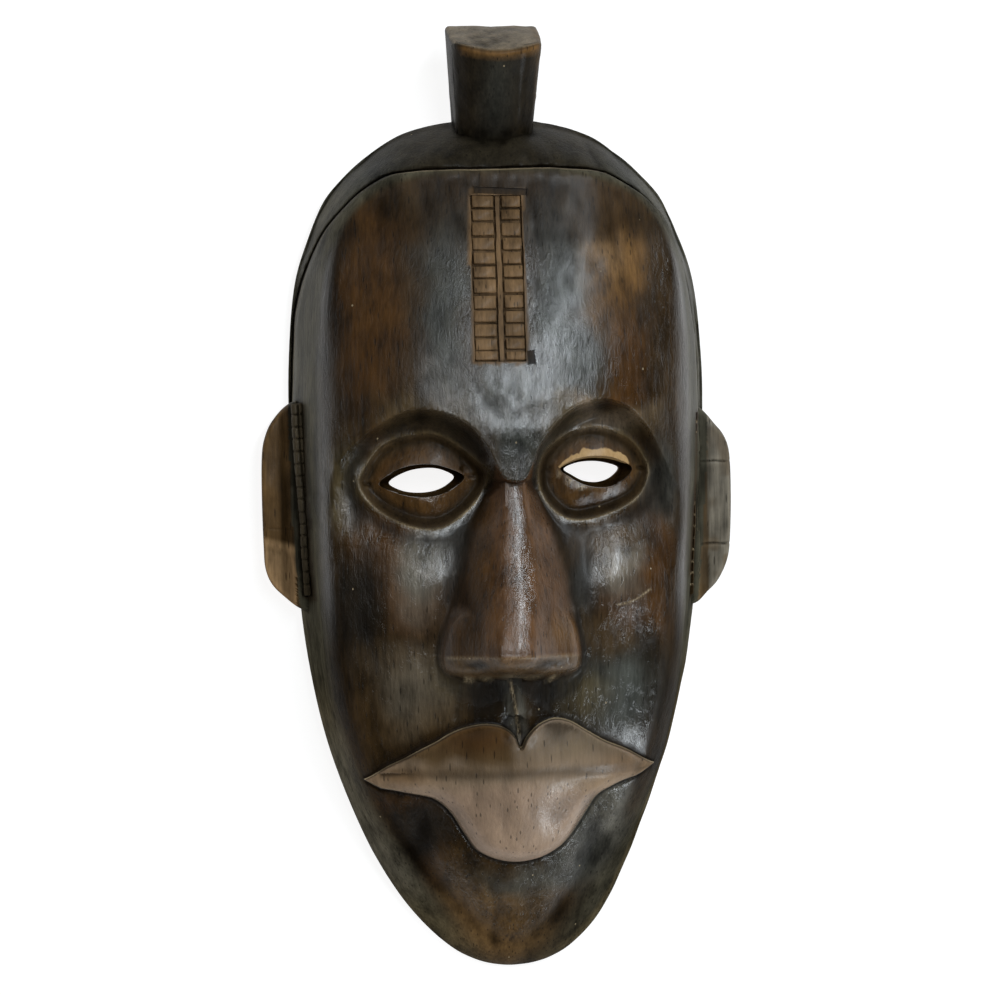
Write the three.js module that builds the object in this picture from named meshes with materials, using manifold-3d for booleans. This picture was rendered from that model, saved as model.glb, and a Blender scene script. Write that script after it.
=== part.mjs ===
// A carved wooden face mask: oval head with a hood, a topknot, board ears with stitched bands,
// pierced eyes, a long nose and wide raised lips. One block of wood, hollowed from the back.
// Millimetres. The mask lies on its back rim: +Z is the face side, +Y the top of the head.

import * as THREE from 'three';
import { mergeVertices } from 'three/addons/utils/BufferGeometryUtils.js';
import Module from 'manifold-3d';

const wasm = await Module();
wasm.setup();

const { smoothstep, lerp, clamp } = THREE.MathUtils;

// Head
const headCentre = new THREE.Vector2( 0, - 5 );
const headTop = 184.5;
const chinTip = - 225;
const wallThickness = 13;
const rimInset = 1.5;

// Half width of the head at each height, from the top of the hood to the chin.
const headHalfWidths = [
	[ headTop, 0 ], [ 184.2, 20 ], [ 179.5, 41 ], [ 175.5, 50 ], [ 166.5, 63.5 ], [ 157, 74 ],
	[ 147.5, 82 ], [ 128, 90.8 ], [ 109, 96.8 ], [ 70, 100.6 ], [ 30, 100.6 ], [ - 36, 96.8 ], [ - 75, 92 ],
	[ - 114, 83.3 ], [ - 153, 69.4 ], [ - 173, 60.4 ], [ - 193, 49.4 ], [ - 207, 38.4 ], [ - 217.5, 26.2 ],
	[ - 223.3, 13 ], [ chinTip, 0 ]
];

// How far the middle of the head stands right of the middle of the block.
const headMiddle = [ [ headTop, 0 ], [ 128, 0.8 ], [ 70, 1 ], [ 30, 0.9 ], [ - 36, 0 ], [ - 160, 0 ], [ chinTip, 4.4 ] ];

// Half width of the face inside its side ridge.
const faceHalfWidths = [
	[ 153.5, 0 ], [ 153, 22 ], [ 150.5, 42 ], [ 146, 55 ], [ 138.5, 65.5 ], [ 128, 73.5 ], [ 114, 79.5 ],
	[ 98, 82.7 ], [ 70, 84.5 ], [ 30, 84.5 ], [ - 40, 82.5 ], [ - 73, 80.5 ], [ - 99, 76.2 ], [ - 121, 70 ],
	[ - 141, 61.5 ], [ - 155, 54 ], [ - 172, 43.5 ], [ - 190, 31 ], [ - 207, 16 ], [ - 214, 7 ], [ - 216, 0 ]
];

// Height of the surface, by y: the forehead, the face below the brows, and the side ridge.
const foreheadCrown = [
	[ 154, 62 ], [ 148, 67 ], [ 130, 72.5 ], [ 100, 77.5 ], [ 70, 80 ], [ 40, 79.5 ], [ 12, 76 ]
];
const faceCrown = [
	[ 70, 64 ], [ 40, 60 ], [ 15, 58 ], [ 0, 61 ], [ - 12, 66 ], [ - 28, 71 ], [ - 45, 72.5 ], [ - 65, 72 ],
	[ - 85, 73.5 ], [ - 105, 75 ], [ - 130, 75 ], [ - 155, 73 ], [ - 175, 68 ], [ - 192, 58 ],
	[ - 207, 41 ], [ - 216, 24 ]
];
const ridgeHeights = [
	[ 154, 60 ], [ 145, 57 ], [ 128, 55 ], [ 100, 54 ], [ 60, 53 ], [ 0, 54 ], [ - 60, 54 ], [ - 100, 52 ],
	[ - 120, 50 ], [ - 140, 46 ], [ - 155, 42 ], [ - 172, 36 ], [ - 190, 29 ], [ - 207, 24 ], [ - 216, 21 ]
];
const edgeHeights = [ [ headTop, 26 ], [ 165, 20 ], [ 140, 14 ], [ 100, 12 ], [ - 170, 12 ], [ chinTip, 9 ] ];
const faceRounding = 2.3;
const cheek = { x: 46, y: - 27, width: 17, length: 21, rise: 2.6 };
const jawHollow = { x: 41, y: - 157, width: 12, length: 18, depth: 3 };

// Hood line from ear to ear over the forehead, and the step down behind it.
const hoodLinePoints = [
	[ - 99, 30 ], [ - 98, 51 ], [ - 97, 80 ], [ - 94, 103 ], [ - 88, 118.5 ], [ - 81, 132 ], [ - 70, 144 ],
	[ - 58.5, 152 ], [ - 49, 156 ], [ - 24, 157.3 ], [ 0, 158 ], [ 28, 158 ], [ 49, 156.4 ], [ 60, 150.5 ],
	[ 72, 142 ], [ 82, 129.8 ], [ 90, 110 ], [ 95, 88 ], [ 97.5, 50 ], [ 98.5, 30 ]
];
const hoodStep = { inward: 1.8, down: 1.3 };
const hoodGroove = { width: 1.5, inward: 1.5, down: 1.5 };
const hoodFullness = { side: 1.15, top: 2.1 };

// Brow line: both brow arcs and the notch between them that meets the root of the nose.
const browPoints = [
	[ - 92, - 2 ], [ - 84, 13 ], [ - 74.8, 27 ], [ - 67, 34.5 ], [ - 57.3, 41 ], [ - 48.3, 45.4 ], [ - 39.7, 46.3 ],
	[ - 29.3, 44.5 ], [ - 18, 38.8 ], [ - 10.2, 28.7 ], [ - 5.6, 19 ], [ - 2.5, 14 ], [ 2, 12.8 ], [ 6.4, 14 ],
	[ 9.6, 19 ], [ 13.4, 28.8 ], [ 19.9, 38.3 ], [ 29.5, 46.2 ], [ 42.9, 50 ], [ 53.6, 48 ], [ 62.7, 41 ],
	[ 70.3, 30.6 ], [ 78, 16 ], [ 86, 0 ]
];
const browFall = 12;

// Eyes: outline of the rim, then the slit at the front and where it opens behind.
const eyes = [
	{
		rim: [
			[ - 68.7, 13.2 ], [ - 65.3, 21.7 ], [ - 59.2, 29 ], [ - 43.5, 35.5 ], [ - 31, 34.6 ], [ - 15.5, 23.8 ],
			[ - 9.6, 16.4 ], [ - 13.5, 5.5 ], [ - 21.9, - 3.6 ], [ - 31.7, - 8.3 ], [ - 44.6, - 7.8 ], [ - 61, 0.8 ]
		],
		slit: [
			[ - 62.4, 12 ], [ - 52, 19.2 ], [ - 37.3, 21.6 ], [ - 27.6, 19.6 ], [ - 18.6, 14.8 ], [ - 24.5, 9.4 ],
			[ - 32.3, 6.3 ], [ - 42.5, 5.5 ], [ - 53.5, 8 ]
		],
		behind: [
			[ - 54.4, 12.4 ], [ - 46, 17.6 ], [ - 35.3, 19.2 ], [ - 28.5, 18 ], [ - 23.4, 14.8 ], [ - 27, 11 ],
			[ - 33, 8.4 ], [ - 41.6, 7.6 ], [ - 49.1, 9 ]
		]
	},
	{
		rim: [
			[ 14.2, 16.2 ], [ 15.7, 22.4 ], [ 19.2, 28 ], [ 31.9, 35.8 ], [ 42.9, 37 ], [ 54.4, 33.8 ], [ 62.5, 27 ],
			[ 67.3, 17.1 ], [ 64.8, 8.2 ], [ 57.9, 1.4 ], [ 37.7, - 5.9 ], [ 27.2, - 5.2 ], [ 20.3, 0 ], [ 15.7, 7.5 ]
		],
		slit: [
			[ 24.2, 18.1 ], [ 31.9, 22.6 ], [ 42.8, 24.2 ], [ 53.3, 22.8 ], [ 62.4, 17.8 ], [ 57.9, 12.1 ],
			[ 46.8, 8.2 ], [ 36.4, 9.8 ], [ 29.3, 13.6 ]
		],
		behind: [
			[ 28.4, 17.6 ], [ 33.5, 20.2 ], [ 41, 21.2 ], [ 48.5, 20.4 ], [ 55, 17.8 ], [ 51.5, 13.6 ],
			[ 45, 11.2 ], [ 38, 11.8 ], [ 32.5, 14.6 ]
		]
	}
];
const eyeRim = { foot: 1.6, crest: 0.5, rise: 3.4, trench: 4.6, trenchDepth: 1.8, trenchRound: 0.8 };
const eyeball = { rise: 3.2, reach: 15, round: 2.4 };
const slot = { front: 62, back: 46, beyond: 14, flareOut: 0.6, flareIn: 0.2 };

// Nose: crest line, its half width, the slope of its sides, the wings and the face underneath.
const noseCrest = [
	[ 30, 74 ], [ 12, 74.8 ], [ 0, 77 ], [ - 14, 80.5 ], [ - 28, 84.5 ], [ - 41, 89.5 ], [ - 54, 95 ], [ - 66, 99 ]
];
const noseMiddle = [ [ 12, 2 ], [ - 14, 1.7 ], [ - 40, 1.2 ], [ - 66, - 0.5 ] ];
const noseTopHalf = [ [ 14, 5 ], [ 0, 5.5 ], [ - 28, 6.5 ], [ - 50, 7 ], [ - 66, 7.5 ] ];
const noseFootHalf = [
	[ 14, 9.5 ], [ 4, 13.5 ], [ - 5, 17.5 ], [ - 17, 21 ], [ - 29, 23.3 ], [ - 44, 26 ], [ - 53, 28.8 ],
	[ - 62, 32.4 ], [ - 68, 34 ]
];
const noseBridge = { crestShare: 0.5, round: 1.5 };
const noseWing = { x: 23.5, y: - 62, rx: 11, ry: 15, rise: 15.5, round: 0.8, blend: 5 };
const noseTip = { y: - 67, drop: 2.3, sweep: 1.4, sweepFrom: 8, halfWidth: 34, reach: 36 };
const philtrum = { top: - 79, topX: - 0.6, bottom: - 104, bottomX: 3.6, width: 8, depth: 3, fade: 4 };

// Lips
const upperLipEdge = [
	[ - 64.9, - 124.5 ], [ - 57.6, - 118.8 ], [ - 49.8, - 115.2 ], [ - 39.8, - 110.2 ], [ - 31.1, - 104.3 ],
	[ - 24.3, - 100.5 ], [ - 18, - 98.9 ], [ - 11.5, - 99 ], [ - 3.4, - 102 ], [ 3.9, - 109.6 ], [ 7.6, - 103.5 ],
	[ 13.8, - 98.6 ], [ 21, - 96.8 ], [ 29.1, - 100.4 ], [ 36.2, - 105.8 ], [ 48, - 112.4 ],
	[ 62.2, - 117.9 ], [ 68, - 122.5 ]
];
const lowerLipEdge = [
	[ 63, - 127.2 ], [ 51.8, - 129.1 ], [ 40.8, - 132.9 ], [ 34.3, - 139.4 ], [ 27.8, - 149.2 ], [ 20.5, - 158 ],
	[ 12.4, - 162.3 ], [ 2.1, - 164.3 ], [ - 10.8, - 161.7 ], [ - 19, - 155.4 ], [ - 24.8, - 146.6 ],
	[ - 30.5, - 138.8 ], [ - 38.2, - 133.3 ], [ - 49.9, - 129.8 ], [ - 62, - 128.4 ]
];
const mouthLine = { y: - 123, halfWidth: 66 };
const lips = {
	edge: 1.2, rise: 2.8, bulge: 7.5, seam: 1.2, seamWidth: 2.2,
	cornerReach: 3, upperReach: 23, upperRound: 1.3, lowerReach: 41, lowerRound: 2.6
};

// Scar ladder: a sunk tray with two columns of raised blocks.
const ladder = {
	top: 145.2, bottom: 67.5, topWidth: 23.6, bottomWidth: 24, topMiddle: - 3.2, bottomMiddle: - 3.6,
	rows: 12, depth: 2.8, blockHeight: 1.7, gap: 1.5, border: 0.9, rib: 2, ribHeight: 1.5, ribAt: 0.53, rootDepth: 4.8
};
const ladderOvercut = { width: 24.5, height: 3.4, x: - 0.9, y: 147.4, turn: - 0.05, depth: 1.2 };
const cutterHeight = 8;

// Ears, with the stitched band that runs down between each ear and the head.
const ears = [
	{
		outline: [
			[ - 84, 54 ], [ - 99.4, 51 ], [ - 108.4, 42 ], [ - 111.8, 34.5 ], [ - 113.2, 27 ], [ - 113.2, - 17 ],
			[ - 112.4, - 28.5 ], [ - 109.6, - 35.5 ], [ - 104, - 41.5 ], [ - 95.5, - 47.5 ], [ - 84, - 49 ]
		],
		bandFrom: [ - 95.2, 50 ], bandTo: [ - 91, - 42 ]
	},
	{
		outline: [
			[ 84, 49 ], [ 98.5, 46 ], [ 106.2, 38 ], [ 110.6, 32.5 ], [ 113.2, 25 ], [ 113.2, - 16.5 ],
			[ 111.8, - 27.5 ], [ 107, - 38 ], [ 101.8, - 43.5 ], [ 95.4, - 48.8 ], [ 84, - 50.5 ]
		],
		bandFrom: [ 95.8, 43.5 ], bandTo: [ 92.8, - 45 ]
	}
];
const earBack = 3;
const earThickness = 17;
const earBevel = 2;
const band = { width: 4.6, height: 31, back: 5, stitches: 15, gap: 1, rail: 1.2, railDrop: 1.6 };

// Topknot: a block that widens upwards, its end cut on the slant.
const knot = {
	middle: - 0.8, baseY: 166, baseHalfWidth: 17.3, baseFront: 38.2, baseBack: 8,
	topY: 228.5, topHalfWidth: 22.2, topFront: 61, topBack: 24, slant: 15.5, bevel: 2.6
};

// Hollow behind the face
const hollowCrown = [
	[ 172, 14 ], [ 150, 44 ], [ 120, 56 ], [ 80, 62 ], [ 45, 54 ], [ 28, 46 ], [ 0, 46 ], [ - 15, 50.5 ],
	[ - 40, 55 ], [ - 60, 55 ], [ - 80, 52 ], [ - 100, 50.5 ], [ - 120, 50.5 ], [ - 135, 49 ], [ - 150, 44 ],
	[ - 165, 36.5 ], [ - 180, 28 ], [ - 195, 18 ], [ - 206, 8 ]
];
const noseHollow = { y: - 48, width: 17, length: 32, rise: 9 };
const hollowRound = { flat: 5, corner: 0.62 };
const hollowMesh = { around: 56, rings: [ 1, 0.985, 0.95, 0.9, 0.82, 0.7, 0.55, 0.38, 0.2 ], below: - 6 };

// Sampling of the carved surface: points on the outline, rings on the side walls, an even fill, then
// more points wherever a facet is further from the surface than the error allows.
const samples = {
	outline: 112, crowding: 0.35, wallRings: 3, ringRoom: 3.2, fill: 11, fillRoom: 4.5,
	edgeMargin: 2, ridgeSnap: 3, error: 0.34, room: 2.3, rounds: 6, most: 3250, cell: 4
};

const woodColor = 0x3d2d20;

// Smooth value of a profile given as [ y, value ] pairs from high y to low y.
function valueAt( profile, y ) {

	const last = profile.length - 1;
	if ( y >= profile[ 0 ][ 0 ] ) return profile[ 0 ][ 1 ];
	if ( y <= profile[ last ][ 0 ] ) return profile[ last ][ 1 ];
	let i = 0;
	while ( y < profile[ i + 1 ][ 0 ] ) i ++;
	const slope = ( k ) => {

		if ( k <= 0 || k >= last ) return 0;
		return ( profile[ k + 1 ][ 1 ] - profile[ k - 1 ][ 1 ] ) / ( profile[ k + 1 ][ 0 ] - profile[ k - 1 ][ 0 ] );

	};

	const [ y0, v0 ] = profile[ i ];
	const [ y1, v1 ] = profile[ i + 1 ];
	const span = y1 - y0;
	const t = ( y - y0 ) / span;
	return v0 * ( 1 + 2 * t ) * ( 1 - t ) ** 2 + v1 * t * t * ( 3 - 2 * t )
		+ slope( i ) * span * t * ( 1 - t ) ** 2 + slope( i + 1 ) * span * t * t * ( t - 1 );

}

// Polyline of a smooth curve through the points.
function curveThrough( points, divisions, closed = false ) {

	const controls = points.map( ( [ x, y ] ) => new THREE.Vector3( x, y, 0 ) );
	const curve = new THREE.CatmullRomCurve3( controls, closed, 'centripetal' );
	return curve.getPoints( divisions ).map( ( p ) => new THREE.Vector2( p.x, p.y ) );

}

// Distance from a line, positive on its left-hand side.
function sideDistance( line, x, y ) {

	let best = Infinity;
	let side = 1;
	for ( let i = 0; i < line.length - 1; i ++ ) {

		const a = line[ i ];
		const dx = line[ i + 1 ].x - a.x;
		const dy = line[ i + 1 ].y - a.y;
		const t = clamp( ( ( x - a.x ) * dx + ( y - a.y ) * dy ) / ( dx * dx + dy * dy ), 0, 1 );
		const distance = Math.hypot( x - a.x - t * dx, y - a.y - t * dy );
		if ( distance < best - 1e-9 ) {

			best = distance;
			side = Math.sign( dx * ( y - a.y ) - dy * ( x - a.x ) ) || 1;

		}

	}

	return best * side;

}

function isInside( outline, x, y ) {

	let inside = false;
	for ( let i = 0, j = outline.length - 1; i < outline.length; j = i ++ ) {

		const a = outline[ i ];
		const b = outline[ j ];
		if ( a.y > y !== b.y > y && x < ( b.x - a.x ) * ( y - a.y ) / ( b.y - a.y ) + a.x ) inside = ! inside;

	}

	return inside;

}

// Distance inside a closed outline, negative outside it.
function insideDistance( outline, x, y ) {

	const distance = Math.abs( sideDistance( outline, x, y ) );
	return isInside( outline, x, y ) ? distance : - distance;

}

// Oval through half widths, as a closed polyline with its radius from the head's centre.
function ovalOf( halfWidths ) {

	const right = halfWidths.map( ( [ y, x ] ) => [ valueAt( headMiddle, y ) + x, y ] );
	const left = halfWidths.slice( 1, - 1 ).reverse().map( ( [ y, x ] ) => [ valueAt( headMiddle, y ) - x, y ] );
	return curveThrough( [ ...right, ...left ], 240, true );

}

function radiusOf( oval ) {

	const table = oval.slice( 0, - 1 ).map( ( p ) => {

		const q = p.clone().sub( headCentre );
		return { angle: Math.atan2( q.y, q.x ), radius: q.length() };

	} );
	table.sort( ( a, b ) => a.angle - b.angle );
	const first = table[ 0 ];
	const last = table[ table.length - 1 ];
	table.unshift( { angle: last.angle - 2 * Math.PI, radius: last.radius } );
	table.push( { angle: first.angle + 2 * Math.PI, radius: first.radius } );
	return ( angle ) => {

		let low = 0;
		let high = table.length - 1;
		while ( high - low > 1 ) {

			const middle = ( low + high ) >> 1;
			if ( table[ middle ].angle <= angle ) low = middle;
			else high = middle;

		}

		const a = table[ low ];
		const b = table[ high ];
		return lerp( a.radius, b.radius, ( angle - a.angle ) / ( b.angle - a.angle ) );

	};

}

const headOval = ovalOf( headHalfWidths );
const faceOval = ovalOf( faceHalfWidths );
const headRadius = radiusOf( headOval );
const faceRadius = radiusOf( faceOval );
const hoodLine = curveThrough( hoodLinePoints, 90 );
const browLine = curveThrough( browPoints, 110 );
const mouthOutline = [ ...curveThrough( upperLipEdge, 80 ), ...curveThrough( lowerLipEdge, 60 ) ];
mouthOutline.push( mouthOutline[ 0 ].clone() );
for ( const eye of eyes ) eye.rimLine = curveThrough( eye.rim, 64, true );

// Face and side walls without any feature: level of the surface for a given crown.
function bareSurface( crown, x, y ) {

	const dx = x - headCentre.x;
	const dy = y - headCentre.y;
	const reach = Math.max( Math.hypot( dx, dy ), 1e-6 );
	const angle = Math.atan2( dy, dx );
	const inner = faceRadius( angle );
	const outer = headRadius( angle );
	const ridgeY = headCentre.y + dy / reach * inner;
	const edgeY = headCentre.y + dy / reach * outer;
	const ridge = valueAt( ridgeHeights, ridgeY );
	if ( reach <= inner ) return lerp( valueAt( crown, y ), ridge, ( reach / inner ) ** faceRounding );
	const fromHood = sideDistance( hoodLine, x, y ) / hoodGroove.width;
	const behindHood = clamp( fromHood, 0, 1 );
	const groove = Math.max( 1 - Math.abs( fromHood ), 0 );
	const inset = hoodStep.inward * behindHood + hoodGroove.inward * groove;
	const drop = ( reach - inner + inset ) / ( outer - inner );
	const fullness = lerp( hoodFullness.side, hoodFullness.top, smoothstep( dy / reach, 0.75, 0.97 ) );
	const level = lerp( ridge, valueAt( edgeHeights, edgeY ), drop ** fullness );
	return level - hoodStep.down * behindHood - hoodGroove.down * groove;

}

function bump( form, x, y ) {

	const across = ( Math.abs( x ) - form.x ) / form.width;
	const along = ( y - form.y ) / form.length;
	return Math.exp( - across * across - along * along );

}

// How far the nose stands above the face around it.
function noseRise( x, yGiven ) {

	if ( yGiven < philtrum.bottom || Math.abs( x ) > noseTip.reach ) return 0;
	const tipY = noseTip.y - noseTip.sweep * smoothstep( Math.abs( x ), noseTip.sweepFrom, noseTip.halfWidth );
	const y = Math.max( yGiven, tipY );
	const fromMiddle = Math.abs( x - valueAt( noseMiddle, y ) );
	const flat = valueAt( noseTopHalf, y ) * noseBridge.crestShare;
	const foot = valueAt( noseFootHalf, y );
	const crest = valueAt( noseCrest, y ) - valueAt( faceCrown, y );
	const fall = clamp( ( fromMiddle - flat ) / ( foot - flat ), 0, 1 );
	const bridge = crest * ( 1 - fall ** noseBridge.round );
	const wx = ( Math.abs( x ) - noseWing.x ) / noseWing.rx;
	const wy = ( y - noseWing.y ) / noseWing.ry;
	const bulb = noseWing.rise * Math.max( 1 - wx * wx - wy * wy, 0 ) ** noseWing.round;
	const join = Math.max( 1 - Math.abs( bridge - bulb ) / noseWing.blend, 0 );
	const rounded = Math.max( bridge, bulb ) + join * join * noseWing.blend / 4 * Math.min( bridge, bulb, 1 );
	return Math.max( rounded - Math.max( tipY - yGiven, 0 ) * noseTip.drop, 0 );

}

function lipsRise( x, y ) {

	const depth = insideDistance( mouthOutline, x, y );
	if ( depth < - lips.edge ) return 0;
	const edge = clamp( ( depth + lips.edge / 2 ) / ( lips.edge * 1.5 ), 0, 1 );
	const across = clamp( 1 - ( x / mouthLine.halfWidth ) ** 2, 0, 1 );
	const fromSeam = y - mouthLine.y;
	const upper = fromSeam > 0;
	const reach = lerp( lips.cornerReach, upper ? lips.upperReach : lips.lowerReach, upper ? across : across ** 3 );
	const t = clamp( Math.abs( fromSeam ) / reach, 0, 1 );
	const bulge = lips.bulge * across * ( 1 - t ** ( upper ? lips.upperRound : lips.lowerRound ) );
	const seam = lips.seam * Math.exp( - ( ( fromSeam / lips.seamWidth ) ** 2 ) );
	return edge * ( lips.rise + bulge - seam );

}

function eyeRise( eye, x, y ) {

	const depth = insideDistance( eye.rimLine, x, y );
	if ( depth < - eyeRim.foot ) return 0;
	const rim = eyeRim.rise * clamp( ( depth + eyeRim.foot ) / ( eyeRim.foot + eyeRim.crest ), 0, 1 );
	const sunk = clamp( ( depth - eyeRim.crest ) / ( eyeRim.trench - eyeRim.crest ), 0, 1 );
	const trench = ( eyeRim.rise + eyeRim.trenchDepth ) * sunk ** eyeRim.trenchRound;
	const lens = clamp( ( depth - eyeRim.trench ) / eyeball.reach, 0, 1 );
	const ball = ( eyeball.rise + eyeRim.trenchDepth ) * ( 1 - ( 1 - lens ) ** eyeball.round );
	return rim - trench + ball;

}

// Slanting groove from under the nose to the dip of the upper lip.
function philtrumDepth( x, y ) {

	const along = clamp( ( philtrum.top - y ) / ( philtrum.top - philtrum.bottom ), 0, 1 );
	const aside = Math.abs( x - lerp( philtrum.topX, philtrum.bottomX, along ) );
	const reach = smoothstep( y, philtrum.bottom - philtrum.fade, philtrum.bottom )
		* ( 1 - smoothstep( y, philtrum.top, philtrum.top + philtrum.fade ) );
	return philtrum.depth * Math.max( 1 - aside / philtrum.width, 0 ) * reach;

}

// Height of the carved front above the back rim.
function carvedSurface( x, y ) {

	const fromBrow = sideDistance( browLine, x, y );
	const underBrow = clamp( - fromBrow / browFall, 0, 1 );
	const overhang = fromBrow > 0 ? 1 : ( 1 - underBrow ) ** 2.2;
	const low = bareSurface( faceCrown, x, y );
	const high = overhang > 0 ? bareSurface( foreheadCrown, x, y ) : low;
	let z = lerp( low, high, overhang );
	z += cheek.rise * bump( cheek, x, y ) * ( 1 - overhang );
	z -= jawHollow.depth * bump( jawHollow, x, y );
	z -= philtrumDepth( x, y );
	z += lipsRise( x, y );
	for ( const eye of eyes ) z += eyeRise( eye, x, y );
	const nose = fromBrow < 0 ? noseRise( x, y ) : 0;
	if ( nose > 0 ) z = Math.max( z, low + nose );
	return z;

}

// Points spaced along a line, shifted sideways from it.
function rowAlong( line, spacing, shift ) {

	const row = [];
	let travelled = spacing / 2;
	for ( let i = 0; i < line.length - 1; i ++ ) {

		const step = line[ i + 1 ].clone().sub( line[ i ] );
		const length = step.length();
		while ( travelled <= length && length > 0 ) {

			const p = line[ i ].clone().addScaledVector( step, travelled / length );
			p.x -= step.y / length * shift;
			p.y += step.x / length * shift;
			row.push( p );
			travelled += spacing;

		}

		travelled -= length;

	}

	return row;

}

// Delaunay triangulation that grows by one point at a time.
class Triangulation {

	constructor( size ) {

		this.points = [ [ - size, - size ], [ size, - size ], [ 0, size ] ];
		this.triangles = [];
		this.addTriangle( 0, 1, 2 );

	}

	addTriangle( a, b, c ) {

		const [ ax, ay ] = this.points[ a ];
		const [ bx, by ] = this.points[ b ];
		const [ cx, cy ] = this.points[ c ];
		const d = 2 * ( ( bx - ax ) * ( cy - ay ) - ( by - ay ) * ( cx - ax ) );
		const b2 = ( bx - ax ) ** 2 + ( by - ay ) ** 2;
		const c2 = ( cx - ax ) ** 2 + ( cy - ay ) ** 2;
		const ux = ( ( cy - ay ) * b2 - ( by - ay ) * c2 ) / d;
		const uy = ( ( bx - ax ) * c2 - ( cx - ax ) * b2 ) / d;
		this.triangles.push( { a, b, c, x: ax + ux, y: ay + uy, r2: ux * ux + uy * uy } );

	}

	insert( x, y ) {

		const index = this.points.push( [ x, y ] ) - 1;
		const border = new Map();
		const kept = [];
		for ( const t of this.triangles ) {

			if ( ( x - t.x ) ** 2 + ( y - t.y ) ** 2 >= t.r2 ) {

				kept.push( t );
				continue;

			}

			for ( const [ p, q ] of [ [ t.a, t.b ], [ t.b, t.c ], [ t.c, t.a ] ] ) {

				if ( ! border.delete( q + ':' + p ) ) border.set( p + ':' + q, [ p, q ] );

			}

		}

		this.triangles = kept;
		for ( const [ p, q ] of border.values() ) this.addTriangle( p, q, index );

	}

}

function insideHead( p, margin ) {

	const q = p.clone().sub( headCentre );
	return q.length() < headRadius( Math.atan2( q.y, q.x ) ) - margin;

}

// Point moved on to the side ridge when it lies close to it.
function snapToRidge( p ) {

	const q = p.clone().sub( headCentre );
	const inner = faceRadius( Math.atan2( q.y, q.x ) );
	if ( Math.abs( q.length() - inner ) < samples.ridgeSnap ) q.setLength( inner );
	return q.add( headCentre );

}

// Rows of samples that follow the carved lines. Each has its line, the spacing along it, the shift to
// the left of it, and the room that every point keeps from earlier ones.
function featureRows() {

	const rows = [ { line: browLine, spacing: 4.5, shift: 0, room: 1.2 } ];
	for ( const eye of eyes ) {

		for ( const depth of [ - eyeRim.foot, eyeRim.crest, eyeRim.trench ] ) {

			rows.push( { line: eye.rimLine, spacing: 4, shift: - depth, room: 1.2 } );

		}

	}

	const tipEnd = noseTip.y - noseTip.sweep;
	const tipSide = noseTip.halfWidth - 1;
	const tipLine = curveThrough( [ [ - tipSide, tipEnd ], [ 0, noseTip.y ], [ tipSide, tipEnd ] ], 16 );
	const seamSide = mouthLine.halfWidth - noseTip.sweepFrom;
	const seam = [ - seamSide, seamSide ].map( ( x ) => new THREE.Vector2( x, mouthLine.y ) );
	rows.push(
		{ line: mouthOutline, spacing: 4.4, shift: lips.edge / 2, room: 1.2 },
		{ line: mouthOutline, spacing: 4.4, shift: - lips.edge, room: 1.2 },
		{ line: seam, spacing: 6, shift: 0, room: 2 },
		{ line: tipLine, spacing: 4, shift: 0, room: 2 },
		{ line: browLine, spacing: 4.5, shift: - 2, room: 1.7 },
		{ line: browLine, spacing: 5.5, shift: - 5.5, room: 3 }
	);
	for ( const shift of [ 0, hoodGroove.width, - hoodGroove.width ] ) {

		rows.push( { line: hoodLine, spacing: 7, shift, room: 1.2 } );

	}

	for ( const side of [ - 1, 1 ] ) {

		const foot = [];
		const shoulder = [];
		for ( let y = 10; y >= tipEnd; y -= 3.5 ) {

			const middle = valueAt( noseMiddle, y );
			const flat = valueAt( noseTopHalf, y ) * noseBridge.crestShare;
			foot.push( new THREE.Vector2( middle + side * valueAt( noseFootHalf, y ), y ) );
			shoulder.push( new THREE.Vector2( middle + side * flat, y ) );

		}

		rows.push( { line: foot, spacing: 4, shift: 0, room: 2 }, { line: shoulder, spacing: 6, shift: 0, room: 2 } );

	}

	return rows;

}

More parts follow.
